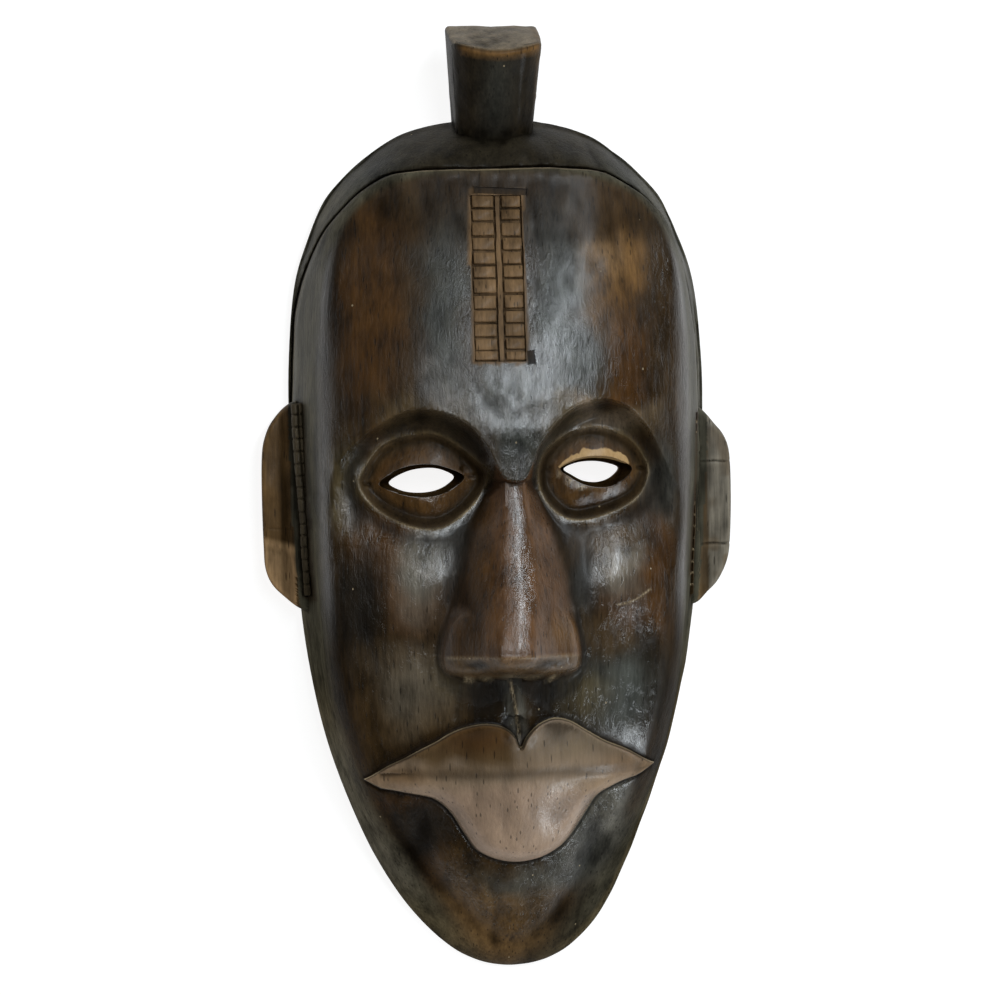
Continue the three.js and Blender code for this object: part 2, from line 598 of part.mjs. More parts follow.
// Carved surface sampled along its features, then wherever the facets miss it most.
function sampleSurface( outline ) {

	const mesh = new Triangulation( 10 * headTop );
	const cells = new Map();
	const tryPoint = ( p, room ) => {

		const cx = Math.floor( p.x / samples.cell );
		const cy = Math.floor( p.y / samples.cell );
		const far = Math.ceil( room / samples.cell );
		for ( let i = cx - far; i <= cx + far; i ++ ) {

			for ( let j = cy - far; j <= cy + far; j ++ ) {

				const near = cells.get( i + ',' + j ) || [];
				if ( near.some( ( q ) => q.distanceTo( p ) < room ) ) return;

			}

		}

		const key = cx + ',' + cy;
		if ( ! cells.has( key ) ) cells.set( key, [] );
		cells.get( key ).push( p );
		// A few microns of scatter keep four points off one circle.
		const scatter = 0.004 * Math.sin( 12.9898 * p.x + 78.233 * p.y );
		mesh.insert( p.x + scatter, p.y - scatter );

	};

	for ( const p of outline ) tryPoint( p, 0 );
	for ( const { line, spacing, shift, room } of featureRows() ) {

		for ( const p of rowAlong( line, spacing, shift ) ) {

			if ( insideHead( p, samples.edgeMargin ) ) tryPoint( p, room );

		}

	}

	for ( let ring = 0; ring < samples.wallRings; ring ++ ) {

		for ( const edge of outline ) {

			const q = edge.clone().sub( headCentre );
			const inner = faceRadius( Math.atan2( q.y, q.x ) );
			q.setLength( lerp( inner, q.length(), ring / samples.wallRings ) );
			tryPoint( q.add( headCentre ), samples.ringRoom );

		}

	}

	const rowStep = samples.fill * Math.sqrt( 3 ) / 2;
	for ( let row = 0; row * rowStep < headTop - chinTip; row ++ ) {

		const offset = row % 2 * samples.fill / 2;
		for ( let x = - 100 + offset; x < 100; x += samples.fill ) {

			const p = new THREE.Vector2( x, chinTip + row * rowStep );
			if ( insideHead( p, 2 * samples.edgeMargin ) ) tryPoint( p, samples.fillRoom );

		}

	}

	const height = new Map();
	const heightOf = ( index ) => {

		if ( ! height.has( index ) ) height.set( index, carvedSurface( ...mesh.points[ index ] ) );
		return height.get( index );

	};

	const third = 1 / 3;
	const probes = [ [ third, third, third ], [ 0.5, 0.5, 0 ], [ 0, 0.5, 0.5 ], [ 0.5, 0, 0.5 ] ];
	for ( let round = 0; round < samples.rounds; round ++ ) {

		const misses = [];
		for ( const t of mesh.triangles ) {

			if ( Math.min( t.a, t.b, t.c ) < 3 ) continue;
			const [ a, b, c ] = [ t.a, t.b, t.c ].map( ( k ) => new THREE.Vector2( ...mesh.points[ k ] ) );
			for ( const [ u, v, w ] of probes ) {

				const p = a.clone().multiplyScalar( u ).addScaledVector( b, v ).addScaledVector( c, w );
				if ( ! insideHead( p, samples.edgeMargin ) ) continue;
				const flat = u * heightOf( t.a ) + v * heightOf( t.b ) + w * heightOf( t.c );
				const miss = Math.abs( carvedSurface( p.x, p.y ) - flat );
				if ( miss > samples.error ) misses.push( { p: snapToRidge( p ), miss } );

			}

		}

		misses.sort( ( a, b ) => b.miss - a.miss );
		for ( const { p } of misses ) {

			if ( mesh.points.length < samples.most ) tryPoint( p, samples.room );

		}

	}

	return mesh;

}

function solidFrom( positions, index ) {

	const geometry = new THREE.BufferGeometry();
	geometry.setAttribute( 'position', new THREE.Float32BufferAttribute( positions, 3 ) );
	if ( index ) geometry.setIndex( index );
	return solidOf( geometry );

}

function solidOf( geometry ) {

	const bare = geometry.index ? geometry.toNonIndexed() : geometry.clone();
	bare.deleteAttribute( 'normal' );
	bare.deleteAttribute( 'uv' );
	const merged = mergeVertices( bare, 1e-4 );
	return new wasm.Manifold( new wasm.Mesh( {
		numProp: 3,
		vertProperties: merged.attributes.position.array,
		triVerts: new Uint32Array( merged.index.array )
	} ) );

}

// Solid head: carved front, an edge, and the flat back.
function buildHead() {

	const outline = [];
	for ( let i = 0; i < samples.outline; i ++ ) {

		const even = i / samples.outline * 2 * Math.PI - Math.PI;
		const angle = even + samples.crowding * Math.sin( 2 * even );
		const radius = headRadius( angle );
		const p = new THREE.Vector2( Math.cos( angle ), Math.sin( angle ) ).multiplyScalar( radius );
		outline.push( p.add( headCentre ) );

	}

	const mesh = sampleSurface( outline );
	const positions = [];
	const index = [];
	mesh.points.forEach( ( [ x, y ] ) => positions.push( x, y, carvedSurface( x, y ) ) );
	const edges = new Map();
	for ( const t of mesh.triangles ) {

		if ( Math.min( t.a, t.b, t.c ) < 3 ) continue;
		index.push( t.a, t.b, t.c );
		for ( const [ p, q ] of [ [ t.a, t.b ], [ t.b, t.c ], [ t.c, t.a ] ] ) {

			if ( ! edges.delete( q + ':' + p ) ) edges.set( p + ':' + q, [ p, q ] );

		}

	}

	// The open border of the front, in order, becomes the edge of the back rim.
	const next = new Map( edges.values() );
	const start = next.keys().next().value;
	const loop = [ start ];
	for ( let k = next.get( start ); k !== start; k = next.get( k ) ) loop.push( k );
	const firstRim = positions.length / 3;
	const rim = loop.map( ( k ) => {

		const p = new THREE.Vector2( ...mesh.points[ k ] ).sub( headCentre );
		return p.setLength( p.length() - rimInset ).add( headCentre );

	} );
	rim.forEach( ( p ) => positions.push( p.x, p.y, 0 ) );
	for ( let i = 0; i < loop.length; i ++ ) {

		const j = ( i + 1 ) % loop.length;
		index.push( loop[ j ], loop[ i ], firstRim + i );
		index.push( loop[ j ], firstRim + i, firstRim + j );

	}

	for ( const [ a, b, c ] of THREE.ShapeUtils.triangulateShape( rim, [] ) ) {

		index.push( firstRim + c, firstRim + b, firstRim + a );

	}

	return solidFrom( positions, index );

}

// Solid that is scooped out of the back.
function buildHollow() {

	const { around, rings, below } = hollowMesh;
	const positions = [];
	const index = [];
	const pointAt = ( k, fraction ) => {

		const angle = k / around * 2 * Math.PI - Math.PI;
		const radius = ( headRadius( angle ) - wallThickness ) * fraction;
		return [ headCentre.x + radius * Math.cos( angle ), headCentre.y + radius * Math.sin( angle ) ];

	};

	const roofAt = ( x, y, fraction ) => {

		const across = x / noseHollow.width;
		const along = ( y - noseHollow.y ) / noseHollow.length;
		const crown = valueAt( hollowCrown, y ) + noseHollow.rise * Math.exp( - across * across - along * along );
		return crown * ( 1 - fraction ** hollowRound.flat ) ** hollowRound.corner;

	};

	for ( let k = 0; k < around; k ++ ) positions.push( ...pointAt( k, 1 ), below );
	for ( const fraction of rings ) {

		for ( let k = 0; k < around; k ++ ) {

			const [ x, y ] = pointAt( k, fraction );
			positions.push( x, y, roofAt( x, y, fraction ) );

		}

	}

	for ( let ring = 0; ring < rings.length; ring ++ ) {

		for ( let k = 0; k < around; k ++ ) {

			const a = ring * around + k;
			const b = ring * around + ( k + 1 ) % around;
			index.push( a, b, b + around, a, b + around, a + around );

		}

	}

	const top = positions.length / 3;
	positions.push( headCentre.x, headCentre.y, roofAt( headCentre.x, headCentre.y, 0 ) );
	positions.push( headCentre.x, headCentre.y, below );
	for ( let k = 0; k < around; k ++ ) {

		const a = rings.length * around + k;
		const b = rings.length * around + ( k + 1 ) % around;
		index.push( a, b, top );
		index.push( ( k + 1 ) % around, k, top + 1 );

	}

	return solidFrom( positions, index );

}

// Straight-sided solid between two outlines with the same number of points.
function loftBetween( lower, upper, zLower, zUpper ) {

	const n = lower.length;
	const positions = [];
	const index = [];
	lower.forEach( ( p ) => positions.push( p.x, p.y, zLower ) );
	upper.forEach( ( p ) => positions.push( p.x, p.y, zUpper ) );
	for ( let i = 0; i < n; i ++ ) {

		const j = ( i + 1 ) % n;
		index.push( i, j, n + j, i, n + j, n + i );

	}

	for ( const [ a, b, c ] of THREE.ShapeUtils.triangulateShape( lower, [] ) ) index.push( c, b, a );
	for ( const [ a, b, c ] of THREE.ShapeUtils.triangulateShape( upper, [] ) ) index.push( n + a, n + b, n + c );
	return solidFrom( positions, index );

}

// Tapering slot through the eye, extended past both of its mouths.
function buildEyeSlit( eye ) {

	const front = curveThrough( eye.slit, 27, true ).slice( 0, - 1 ).reverse();
	const back = curveThrough( eye.behind, 27, true ).slice( 0, - 1 ).reverse();
	const grow = slot.beyond / ( slot.front - slot.back );
	const outer = front.map( ( p, i ) => p.clone().lerp( back[ i ], - grow * slot.flareOut ) );
	const inner = back.map( ( p, i ) => p.clone().lerp( front[ i ], - grow * slot.flareIn ) );
	return loftBetween( inner, outer, slot.back - slot.beyond, slot.front + slot.beyond );

}

// Block that follows the carved surface between two levels below it.
function surfaceBlock( corners, rows, from, to ) {

	const positions = [];
	const index = [];
	const [ topLeft, topRight, bottomRight, bottomLeft ] = corners;
	for ( let row = 0; row <= rows; row ++ ) {

		const left = new THREE.Vector2().lerpVectors( bottomLeft, topLeft, row / rows );
		const right = new THREE.Vector2().lerpVectors( bottomRight, topRight, row / rows );
		for ( const level of [ from, to ] ) {

			positions.push( left.x, left.y, carvedSurface( left.x, left.y ) + level );
			positions.push( right.x, right.y, carvedSurface( right.x, right.y ) + level );

		}

	}

	for ( let row = 0; row < rows; row ++ ) {

		const [ a, b, c, d ] = [ 0, 1, 2, 3 ].map( ( k ) => row * 4 + k );
		index.push( c, d, d + 4, c, d + 4, c + 4 );
		index.push( b, a, a + 4, b, a + 4, b + 4 );
		index.push( a, c, c + 4, a, c + 4, a + 4 );
		index.push( d, b, b + 4, d, b + 4, d + 4 );

	}

	const last = rows * 4;
	index.push( 0, 1, 3, 0, 3, 2 );
	index.push( last + 1, last, last + 2, last + 1, last + 2, last + 3 );
	return solidFrom( positions, index );

}

// Four corners of a strip of the ladder: u across it and v down it, both from 0 to 1.
function ladderCorners( u0, u1, v0, v1 ) {

	const corner = ( u, v ) => {

		const middle = lerp( ladder.topMiddle, ladder.bottomMiddle, v );
		const width = lerp( ladder.topWidth, ladder.bottomWidth, v );
		return new THREE.Vector2( middle + ( u - 0.5 ) * width, lerp( ladder.top, ladder.bottom, v ) );

	};

	return [ corner( u0, v0 ), corner( u1, v0 ), corner( u1, v1 ), corner( u0, v1 ) ];

}

function carveLadder( head ) {

	let carved = head.subtract( surfaceBlock( ladderCorners( 0, 1, 0, 1 ), 12, - ladder.depth, cutterHeight ) );
	const overcut = new THREE.BoxGeometry( ladderOvercut.width, ladderOvercut.height, cutterHeight );
	overcut.rotateZ( ladderOvercut.turn );
	const level = carvedSurface( ladderOvercut.x, ladderOvercut.y ) - ladderOvercut.depth;
	overcut.translate( ladderOvercut.x, ladderOvercut.y, level + cutterHeight / 2 );
	carved = carved.subtract( solidOf( overcut ) );

	const ribLeft = ladder.ribAt - ladder.rib / 2 / ladder.topWidth;
	const ribRight = ladder.ribAt + ladder.rib / 2 / ladder.topWidth;
	const ribTop = ladder.ribHeight - ladder.depth;
	const rib = surfaceBlock( ladderCorners( ribLeft, ribRight, 0, 1 ), 8, - ladder.rootDepth, ribTop );
	carved = carved.add( rib );

	const side = ladder.gap / ladder.topWidth;
	const border = ladder.border / ladder.topWidth;
	const end = ladder.gap / 2 / ( ladder.top - ladder.bottom );
	const blockTop = ladder.blockHeight - ladder.depth;
	for ( let row = 0; row < ladder.rows; row ++ ) {

		const v0 = row / ladder.rows + end;
		const v1 = ( row + 1 ) / ladder.rows - end;
		for ( const [ u0, u1 ] of [ [ border, ribLeft - side ], [ ribRight + side, 1 - border ] ] ) {

			carved = carved.add( surfaceBlock( ladderCorners( u0, u1, v0, v1 ), 1, - ladder.rootDepth, blockTop ) );

		}

	}

	return carved;

}

function buildEar( ear ) {

	const shape = new THREE.Shape( ear.outline.map( ( [ x, y ] ) => new THREE.Vector2( x, y ) ) );
	const geometry = new THREE.ExtrudeGeometry( shape, {
		depth: earThickness - 2 * earBevel,
		bevelEnabled: true,
		bevelThickness: earBevel,
		bevelSize: earBevel,
		bevelOffset: - earBevel,
		bevelSegments: 2
	} );
	geometry.translate( 0, 0, earBack + earBevel );
	return solidOf( geometry );

}

// Stitched band: a row of short pads standing on a rail.
function buildBand( ear ) {

	const from = new THREE.Vector2( ...ear.bandFrom );
	const to = new THREE.Vector2( ...ear.bandTo );
	const length = from.distanceTo( to );
	const turn = Math.atan2( to.x - from.x, from.y - to.y );
	const pitch = length / band.stitches;
	const parts = [];
	const place = ( width, run, top, along ) => {

		const box = new THREE.BoxGeometry( width, run, top - band.back );
		box.rotateZ( turn );
		const middle = new THREE.Vector2().lerpVectors( from, to, along / length );
		box.translate( middle.x, middle.y, ( top + band.back ) / 2 );
		parts.push( solidOf( box ) );

	};

	for ( let i = 0; i < band.stitches; i ++ ) {

		place( band.width - band.rail, pitch - band.gap, band.height, ( i + 0.5 ) * pitch );

	}

	place( band.width, length, band.height - band.railDrop, length / 2 );
	return wasm.Manifold.union( parts );

}

// Knot: its base and its slanted end share one section with bevelled front edges.
function buildKnot() {

	const ends = [
		{ y: knot.baseY, half: knot.baseHalfWidth, front: knot.baseFront, back: knot.baseBack, slant: 0 },
		{ y: knot.topY, half: knot.topHalfWidth, front: knot.topFront, back: knot.topBack, slant: knot.slant }
	];
	const positions = [];
	const sections = ends.map( ( { y, half, front, back, slant } ) => {

		const side = front - knot.bevel;
		const crest = half - knot.bevel;
		const section = [
			[ - half, back ], [ half, back ], [ half, side ], [ crest, front ], [ - crest, front ], [ - half, side ]
		];
		const fallPerDepth = slant / ( front - back );
		for ( const [ x, z ] of section ) positions.push( knot.middle + x, y - fallPerDepth * ( z - back ), z );
		return section.map( ( [ x, z ] ) => new THREE.Vector2( x, z ) );

	} );

	const n = sections[ 0 ].length;
	const index = [];
	for ( let i = 0; i < n; i ++ ) {

		const j = ( i + 1 ) % n;
		index.push( i, n + i, n + j, i, n + j, j );

	}

	const [ base, top ] = sections.map( ( section ) => THREE.ShapeUtils.triangulateShape( section, [] ) );
	for ( const [ a, b, c ] of base ) index.push( a, b, c );
	for ( const [ a, b, c ] of top ) index.push( n + c, n + b, n + a );
	return solidFrom( positions, index );

}

let wood = buildHead();
wood = wood.add( buildKnot() );
for ( const ear of ears ) wood = wood.add( buildEar( ear ) ).add( buildBand( ear ) );
wood = wood.subtract( buildHollow() );
for ( const eye of eyes ) wood = wood.subtract( buildEyeSlit( eye ) );
wood = carveLadder( wood );

const result = wood.getMesh();
const maskGeometry = new THREE.BufferGeometry();
maskGeometry.setAttribute( 'position', new THREE.BufferAttribute( new Float32Array( result.vertProperties ), 3 ) );
maskGeometry.setIndex( new THREE.BufferAttribute( new Uint32Array( result.triVerts ), 1 ) );
maskGeometry.computeVertexNormals();

const maskMaterial = new THREE.MeshStandardMaterial( {
	color: woodColor,
	roughness: 0.42,
	metalness: 0,
	flatShading: true
} );

const mask = new THREE.Mesh( maskGeometry, maskMaterial );
mask.name = 'mask';
mask.position.y = - ( knot.topY + chinTip ) / 2;

const object = new THREE.Group();
object.name = 'carved_face_mask';
object.add( mask );

export default object;
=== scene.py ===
import math
from types import SimpleNamespace

import bmesh
import bpy
import numpy as np
from mathutils import Matrix, Vector


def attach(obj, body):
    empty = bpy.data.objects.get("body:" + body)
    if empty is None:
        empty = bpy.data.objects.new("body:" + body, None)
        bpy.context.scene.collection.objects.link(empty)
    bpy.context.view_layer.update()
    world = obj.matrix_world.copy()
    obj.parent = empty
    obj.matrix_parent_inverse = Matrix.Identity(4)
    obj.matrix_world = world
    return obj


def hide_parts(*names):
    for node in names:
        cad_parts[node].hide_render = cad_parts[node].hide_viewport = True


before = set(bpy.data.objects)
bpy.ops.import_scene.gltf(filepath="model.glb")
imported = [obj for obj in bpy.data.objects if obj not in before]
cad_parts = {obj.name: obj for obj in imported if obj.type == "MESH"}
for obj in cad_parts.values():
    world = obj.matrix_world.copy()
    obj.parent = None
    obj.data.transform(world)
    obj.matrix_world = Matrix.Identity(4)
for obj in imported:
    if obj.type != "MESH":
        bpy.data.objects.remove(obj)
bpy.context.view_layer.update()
print("frame loaded")

# All shapes below are in millimetres, y up the face and z out of it. The wood lies 1.75 mm higher in these
# numbers than in the frame, so toFrame takes that off when the mask is finished.
toFrame = Matrix.Scale(0.001, 4) @ Matrix.Translation((0, -1.75, 0))


# ---- camera

view = dict(target=(-2.3, 4.4, 35), distance=1150, side=5.5, lift=1.5, roll=0.9, lens=87.5)


def makeCamera():
    side, lift, roll = (math.radians(view[k]) for k in ("side", "lift", "roll"))
    back = Vector((-math.sin(side) * math.cos(lift), math.sin(lift), math.cos(side) * math.cos(lift)))
    right = Vector((0, 1, 0)).cross(back).normalized()
    up = back.cross(right)
    turnedRight = math.cos(roll) * right - math.sin(roll) * up
    turnedUp = math.sin(roll) * right + math.cos(roll) * up
    data = bpy.data.cameras.new("camera")
    data.lens = view["lens"]
    camera = bpy.data.objects.new("camera", data)
    place = Matrix((turnedRight, turnedUp, back)).transposed().to_4x4()
    place.translation = toFrame @ (Vector(view["target"]) + back * view["distance"])
    camera.matrix_world = place
    bpy.context.scene.collection.objects.link(camera)
    bpy.context.scene.camera = camera


makeCamera()


# ---- curves and small helpers

def ease(value, low, high):
    t = np.clip((value - low) / (high - low), 0, 1)
    return t * t * (3 - 2 * t)


def mix(a, b, t):
    return a + (b - a) * t


# 1 at a value and soft to both sides
def ribbon(value, middle, width):
    return np.exp(-((value - middle) / width) ** 2)


def hump(x, y, cx, cy, width, length):
    return np.exp(-((x - cx) / width) ** 2 - ((y - cy) / length) ** 2)


# smooth profile through (y, value) pairs that run from high y to low y
def profileAt(profile, y):
    ys, values = np.array(profile, float)[::-1].T
    slopes = np.zeros(len(ys))
    slopes[1:-1] = (values[2:] - values[:-2]) / (ys[2:] - ys[:-2])
    y = np.clip(y, ys[0], ys[-1])
    i = np.clip(np.searchsorted(ys, y, side="right") - 1, 0, len(ys) - 2)
    span = ys[i + 1] - ys[i]
    t = (y - ys[i]) / span
    return (values[i] * (1 + 2 * t) * (1 - t) ** 2 + values[i + 1] * t * t * (3 - 2 * t)
            + slopes[i] * span * t * (1 - t) ** 2 + slopes[i + 1] * span * t * t * (t - 1))


# evenly stepped points on a centripetal spline through the given ones
def curveThrough(points, steps, closed=False):
    p = [np.array(q, float) for q in points]
    ends = [p[-1], *p, p[0], p[1]] if closed else [2 * p[0] - p[1], *p, 2 * p[-1] - p[-2]]
    spans = len(p) if closed else len(p) - 1
    line = []
    for k in range(steps + 1):
        i = min(int(k / steps * spans), spans - 1)
        t = k / steps * spans - i
        a, b, c, d = ends[i:i + 4]
        ab, bc, cd = (max(np.linalg.norm(q - p) ** 0.5, 1e-6) for p, q in ((a, b), (b, c), (c, d)))
        m1 = ((b - a) / ab - (c - a) / (ab + bc) + (c - b) / bc) * bc
        m2 = ((c - b) / bc - (d - b) / (bc + cd) + (d - c) / cd) * bc
        line.append((2 * t**3 - 3 * t * t + 1) * b + (t**3 - 2 * t * t + t) * m1
                    + (3 * t * t - 2 * t**3) * c + (t**3 - t * t) * m2)
    return np.array(line)


# distance from a line, positive on its left-hand side
def sideDistance(line, x, y):
    a, step = line[:-1], np.diff(line, axis=0)
    length2 = (step ** 2).sum(1)
    found = np.empty(len(x))
    for start in range(0, len(x), 8000):
        part = slice(start, start + 8000)
        px, py = x[part, None] - a[:, 0], y[part, None] - a[:, 1]
        t = np.clip((px * step[:, 0] + py * step[:, 1]) / length2, 0, 1)
        gap = np.hypot(px - t * step[:, 0], py - t * step[:, 1])
        best = gap.argmin(1)
        row = np.arange(len(best))
        turn = step[best, 0] * py[row, best] - step[best, 1] * px[row, best]
        found[part] = gap[row, best] * np.where(turn < 0, -1, 1)
    return found


def insideDistance(outline, x, y):
    inside = np.zeros(len(x), bool)
    for (ax, ay), (bx, by) in zip(outline[:-1], outline[1:]):
        if ay != by:
            inside ^= ((ay > y) != (by > y)) & (x < (bx - ax) * (y - ay) / (by - ay) + ax)
    return np.abs(sideDistance(outline, x, y)) * np.where(inside, 1, -1)


# the same for points that may be far away, which only get a large negative distance
def insideDistanceNear(outline, x, y, margin):
    low, high = outline.min(0) - margin, outline.max(0) + margin
    near = (x > low[0]) & (x < high[0]) & (y > low[1]) & (y < high[1])
    found = np.full(len(x), -1e3)
    found[near] = insideDistance(outline, x[near], y[near])
    return found


# soft random relief between -1 and 1, one hump per size millimetres
def softNoise(x, y, size, seed):
    table = np.random.default_rng(seed).uniform(-1, 1, (64, 64))
    i, j = np.floor(x / size).astype(int), np.floor(y / size).astype(int)
    s, t = ease(x / size - i, 0, 1), ease(y / size - j, 0, 1)

    def at(column, row):
        return table[column % 64, row % 64]

    return mix(mix(at(i, j), at(i + 1, j), s), mix(at(i, j + 1), at(i + 1, j + 1), s), t)


# shallow gouge cuts laid side by side: 0 in the middle of each cut, 1 on the ridges between them
def gougeCuts(x, y, width, length, seed):
    shift = np.random.default_rng(seed).uniform(-0.42, 0.42, (64, 64, 2))
    u, v = x / width, y / length
    i, j = np.floor(u).astype(int), np.floor(v).astype(int)
    nearest = np.full(np.shape(x), 9.0)
    for di in (-1, 0, 1):
        for dj in (-1, 0, 1):
            move = shift[(i + di) % 64, (j + dj) % 64]
            away = np.hypot(u - i - di - 0.5 - move[..., 0], v - j - dj - 0.5 - move[..., 1])
            nearest = np.minimum(nearest, away)
    return np.clip(nearest / 0.75, 0, 1) ** 2


# ---- outlines and levels of the carving

# (y, half width) of the whole head and of the face inside its side walls, (y, x) of the head's middle, and
# (y, level) of the forehead and face along the middle, of the ridge between face and walls, and of the outer edge
headCentre, headHalf = (0, -5), (100, 205)
headHalfWidths = [
    (184.5, 0), (184.2, 20), (179.5, 41), (175.5, 50), (166.5, 63.5), (157, 74), (147.5, 82), (128, 90.8),
    (109, 96.8), (70, 100.6), (30, 100.6), (-36, 96.8), (-75, 92), (-114, 83.3), (-153, 69.4), (-173, 60.4),
    (-193, 49.4), (-207, 38.4), (-217.5, 26.2), (-223.3, 13), (-225, 0)]
headMiddle = [(184.5, 0), (128, 0.8), (70, 1), (30, 0.9), (-36, 0), (-160, 0), (-225, 4.4)]
faceHalfWidths = [
    (153.5, 0), (153, 22), (150.5, 42), (146, 55), (138.5, 65.5), (128, 73.5), (114, 79.5), (98, 82.7),
    (70, 84.5), (30, 84.5), (-40, 82.5), (-73, 80.5), (-99, 76.2), (-121, 70), (-141, 61.5), (-155, 54),
    (-172, 43.5), (-190, 31), (-207, 16), (-214, 7), (-216, 0)]
foreheadCrown = [(154, 62), (148, 67), (130, 72.5), (100, 77.5), (70, 80), (40, 80), (12, 78.5)]
faceCrown = [
    (70, 64), (40, 60), (15, 58), (0, 61), (-12, 66), (-28, 71), (-45, 72.5), (-65, 72), (-85, 73.5),
    (-105, 75), (-130, 75), (-155, 73), (-175, 68), (-192, 58), (-207, 41), (-216, 24)]
ridgeHeights = [
    (154, 60), (145, 57), (128, 55), (100, 54), (60, 53), (0, 54), (-60, 54), (-100, 52), (-120, 50),
    (-140, 46), (-155, 42), (-172, 36), (-190, 29), (-207, 24), (-216, 21)]
edgeHeights = [(184.5, 26), (165, 20), (140, 14), (100, 12), (-170, 12), (-225, 9)]


def ovalOf(halfWidths):
    rows = [(float(profileAt(headMiddle, y)), half, y) for y, half in halfWidths]
    right = [(middle + half, y) for middle, half, y in rows]
    left = [(middle - half, y) for middle, half, y in rows[-2:0:-1]]
    return curveThrough(right + left, 240, True)


# radius of an oval in every direction from the middle of the head
def radiusTable(oval):
    x, y = (oval[:-1] - headCentre).T
    angle, radius = np.arctan2(y, x), np.hypot(x, y)
    order = np.argsort(angle)
    angle, radius = angle[order], radius[order]
    return (np.concatenate([[angle[-1] - 2 * np.pi], angle, [angle[0] + 2 * np.pi]]),
            np.concatenate([[radius[-1]], radius, [radius[0]]]))


headTable, faceTable = radiusTable(ovalOf(headHalfWidths)), radiusTable(ovalOf(faceHalfWidths))

# the carved lines as seen from the front, from left to right; an eye has its rim and its slit in front and behind
hoodLine = curveThrough([
    (-99, 30), (-98, 51), (-97, 80), (-94, 103), (-88, 118.5), (-81, 132), (-70, 144), (-58.5, 152),
    (-49, 156), (-24, 157.3), (0, 158), (28, 158), (49, 156.4), (60, 150.5), (72, 142), (82, 129.8),
    (90, 110), (95, 88), (97.5, 50), (98.5, 30)], 90)
browLine = curveThrough([
    (-92, -2), (-84, 13), (-74.8, 27), (-67, 34.5), (-57.3, 41), (-48.3, 45.4), (-39.7, 46.3), (-29.3, 44.5),
    (-18, 38.8), (-10.2, 28.7), (-5.6, 19), (-2.5, 14), (2, 12.8), (6.4, 14), (9.6, 19), (13.4, 28.8),
    (19.9, 38.3), (29.5, 46.2), (42.9, 50), (53.6, 48), (62.7, 41), (70.3, 30.6), (78, 16), (86, 0)], 110)
eyes = [
    dict(rim=[(-68.7, 13.2), (-65.3, 21.7), (-59.2, 29), (-43.5, 35.5), (-31, 34.6), (-15.5, 23.8), (-9.6, 16.4),
              (-13.5, 5.5), (-21.9, -3.6), (-31.7, -8.3), (-44.6, -7.8), (-61, 0.8)],
         slit=[(-62.4, 12), (-52, 19.2), (-37.3, 21.6), (-27.6, 19.6), (-18.6, 14.8), (-24.5, 9.4), (-32.3, 6.3),
               (-42.5, 5.5), (-53.5, 8)],
         behind=[(-54.4, 12.4), (-46, 17.6), (-35.3, 19.2), (-28.5, 18), (-23.4, 14.8), (-27, 11), (-33, 8.4),
                 (-41.6, 7.6), (-49.1, 9)]),
    dict(rim=[(14.2, 16.2), (15.7, 22.4), (19.2, 28), (31.9, 35.8), (42.9, 37), (54.4, 33.8), (62.5, 27),
              (67.3, 17.1), (64.8, 8.2), (57.9, 1.4), (37.7, -5.9), (27.2, -5.2), (20.3, 0), (15.7, 7.5)],
         slit=[(24.2, 18.1), (31.9, 22.6), (42.8, 24.2), (53.3, 22.8), (62.4, 17.8), (57.9, 12.1), (46.8, 8.2),
               (36.4, 9.8), (29.3, 13.6)],
         behind=[(28.4, 17.6), (33.5, 20.2), (41, 21.2), (48.5, 20.4), (55, 17.8), (51.5, 13.6), (45, 11.2),
                 (38, 11.8), (32.5, 14.6)])]
for eye in eyes:
    eye["rimLine"] = curveThrough(eye["rim"], 64, True)
    eye["slitLine"] = curveThrough(eye["slit"], 54, True)
    eye["corners"] = [(pick(eye["rim"]), pick(eye["slit"])) for pick in (min, max)]
upperLip = curveThrough([
    (-68, -126.3), (-56.4, -119), (-46.7, -114.1), (-36.9, -108.7), (-28.1, -103.7), (-21, -101.1),
    (-12.1, -100), (-5, -101.2), (0.7, -105), (3.9, -110.9), (7.2, -106), (12.7, -100.4), (19.9, -98.1),
    (27.2, -99.6), (34.8, -104.3), (44, -109.6), (55.2, -114.7), (69.5, -122.3)], 80)
lowerLip = curveThrough([
    (60, -127.6), (50.3, -131), (41.3, -136.3), (36.2, -144.5), (29.2, -155.9), (21.9, -162.8), (10.9, -167),
    (-1.8, -167.7), (-14.5, -162.4), (-21.8, -152.9), (-27.4, -143.1), (-36.4, -135.6), (-50.8, -132.1),
    (-60.5, -130.3)], 60)
mouthLine = np.vstack([upperLip, lowerLip, upperLip[:1]])
scratch = curveThrough([(50, -45.6), (58, -43.8), (66, -39)], 12)

noseTip = curveThrough([(-33, -68.4), (-16, -67.6), (0, -67), (16, -67.6), (33, -68.4)], 24)


# distance from the middle of the head, how far that way runs up the face, and the two ovals on that way
def polar(x, y):
    dx, dy = x - headCentre[0], y - headCentre[1]
    reach = np.maximum(np.hypot(dx, dy), 1e-6)
    angle = np.arctan2(dy, dx)
    return reach, dy / reach, np.interp(angle, *faceTable), np.interp(angle, *headTable)


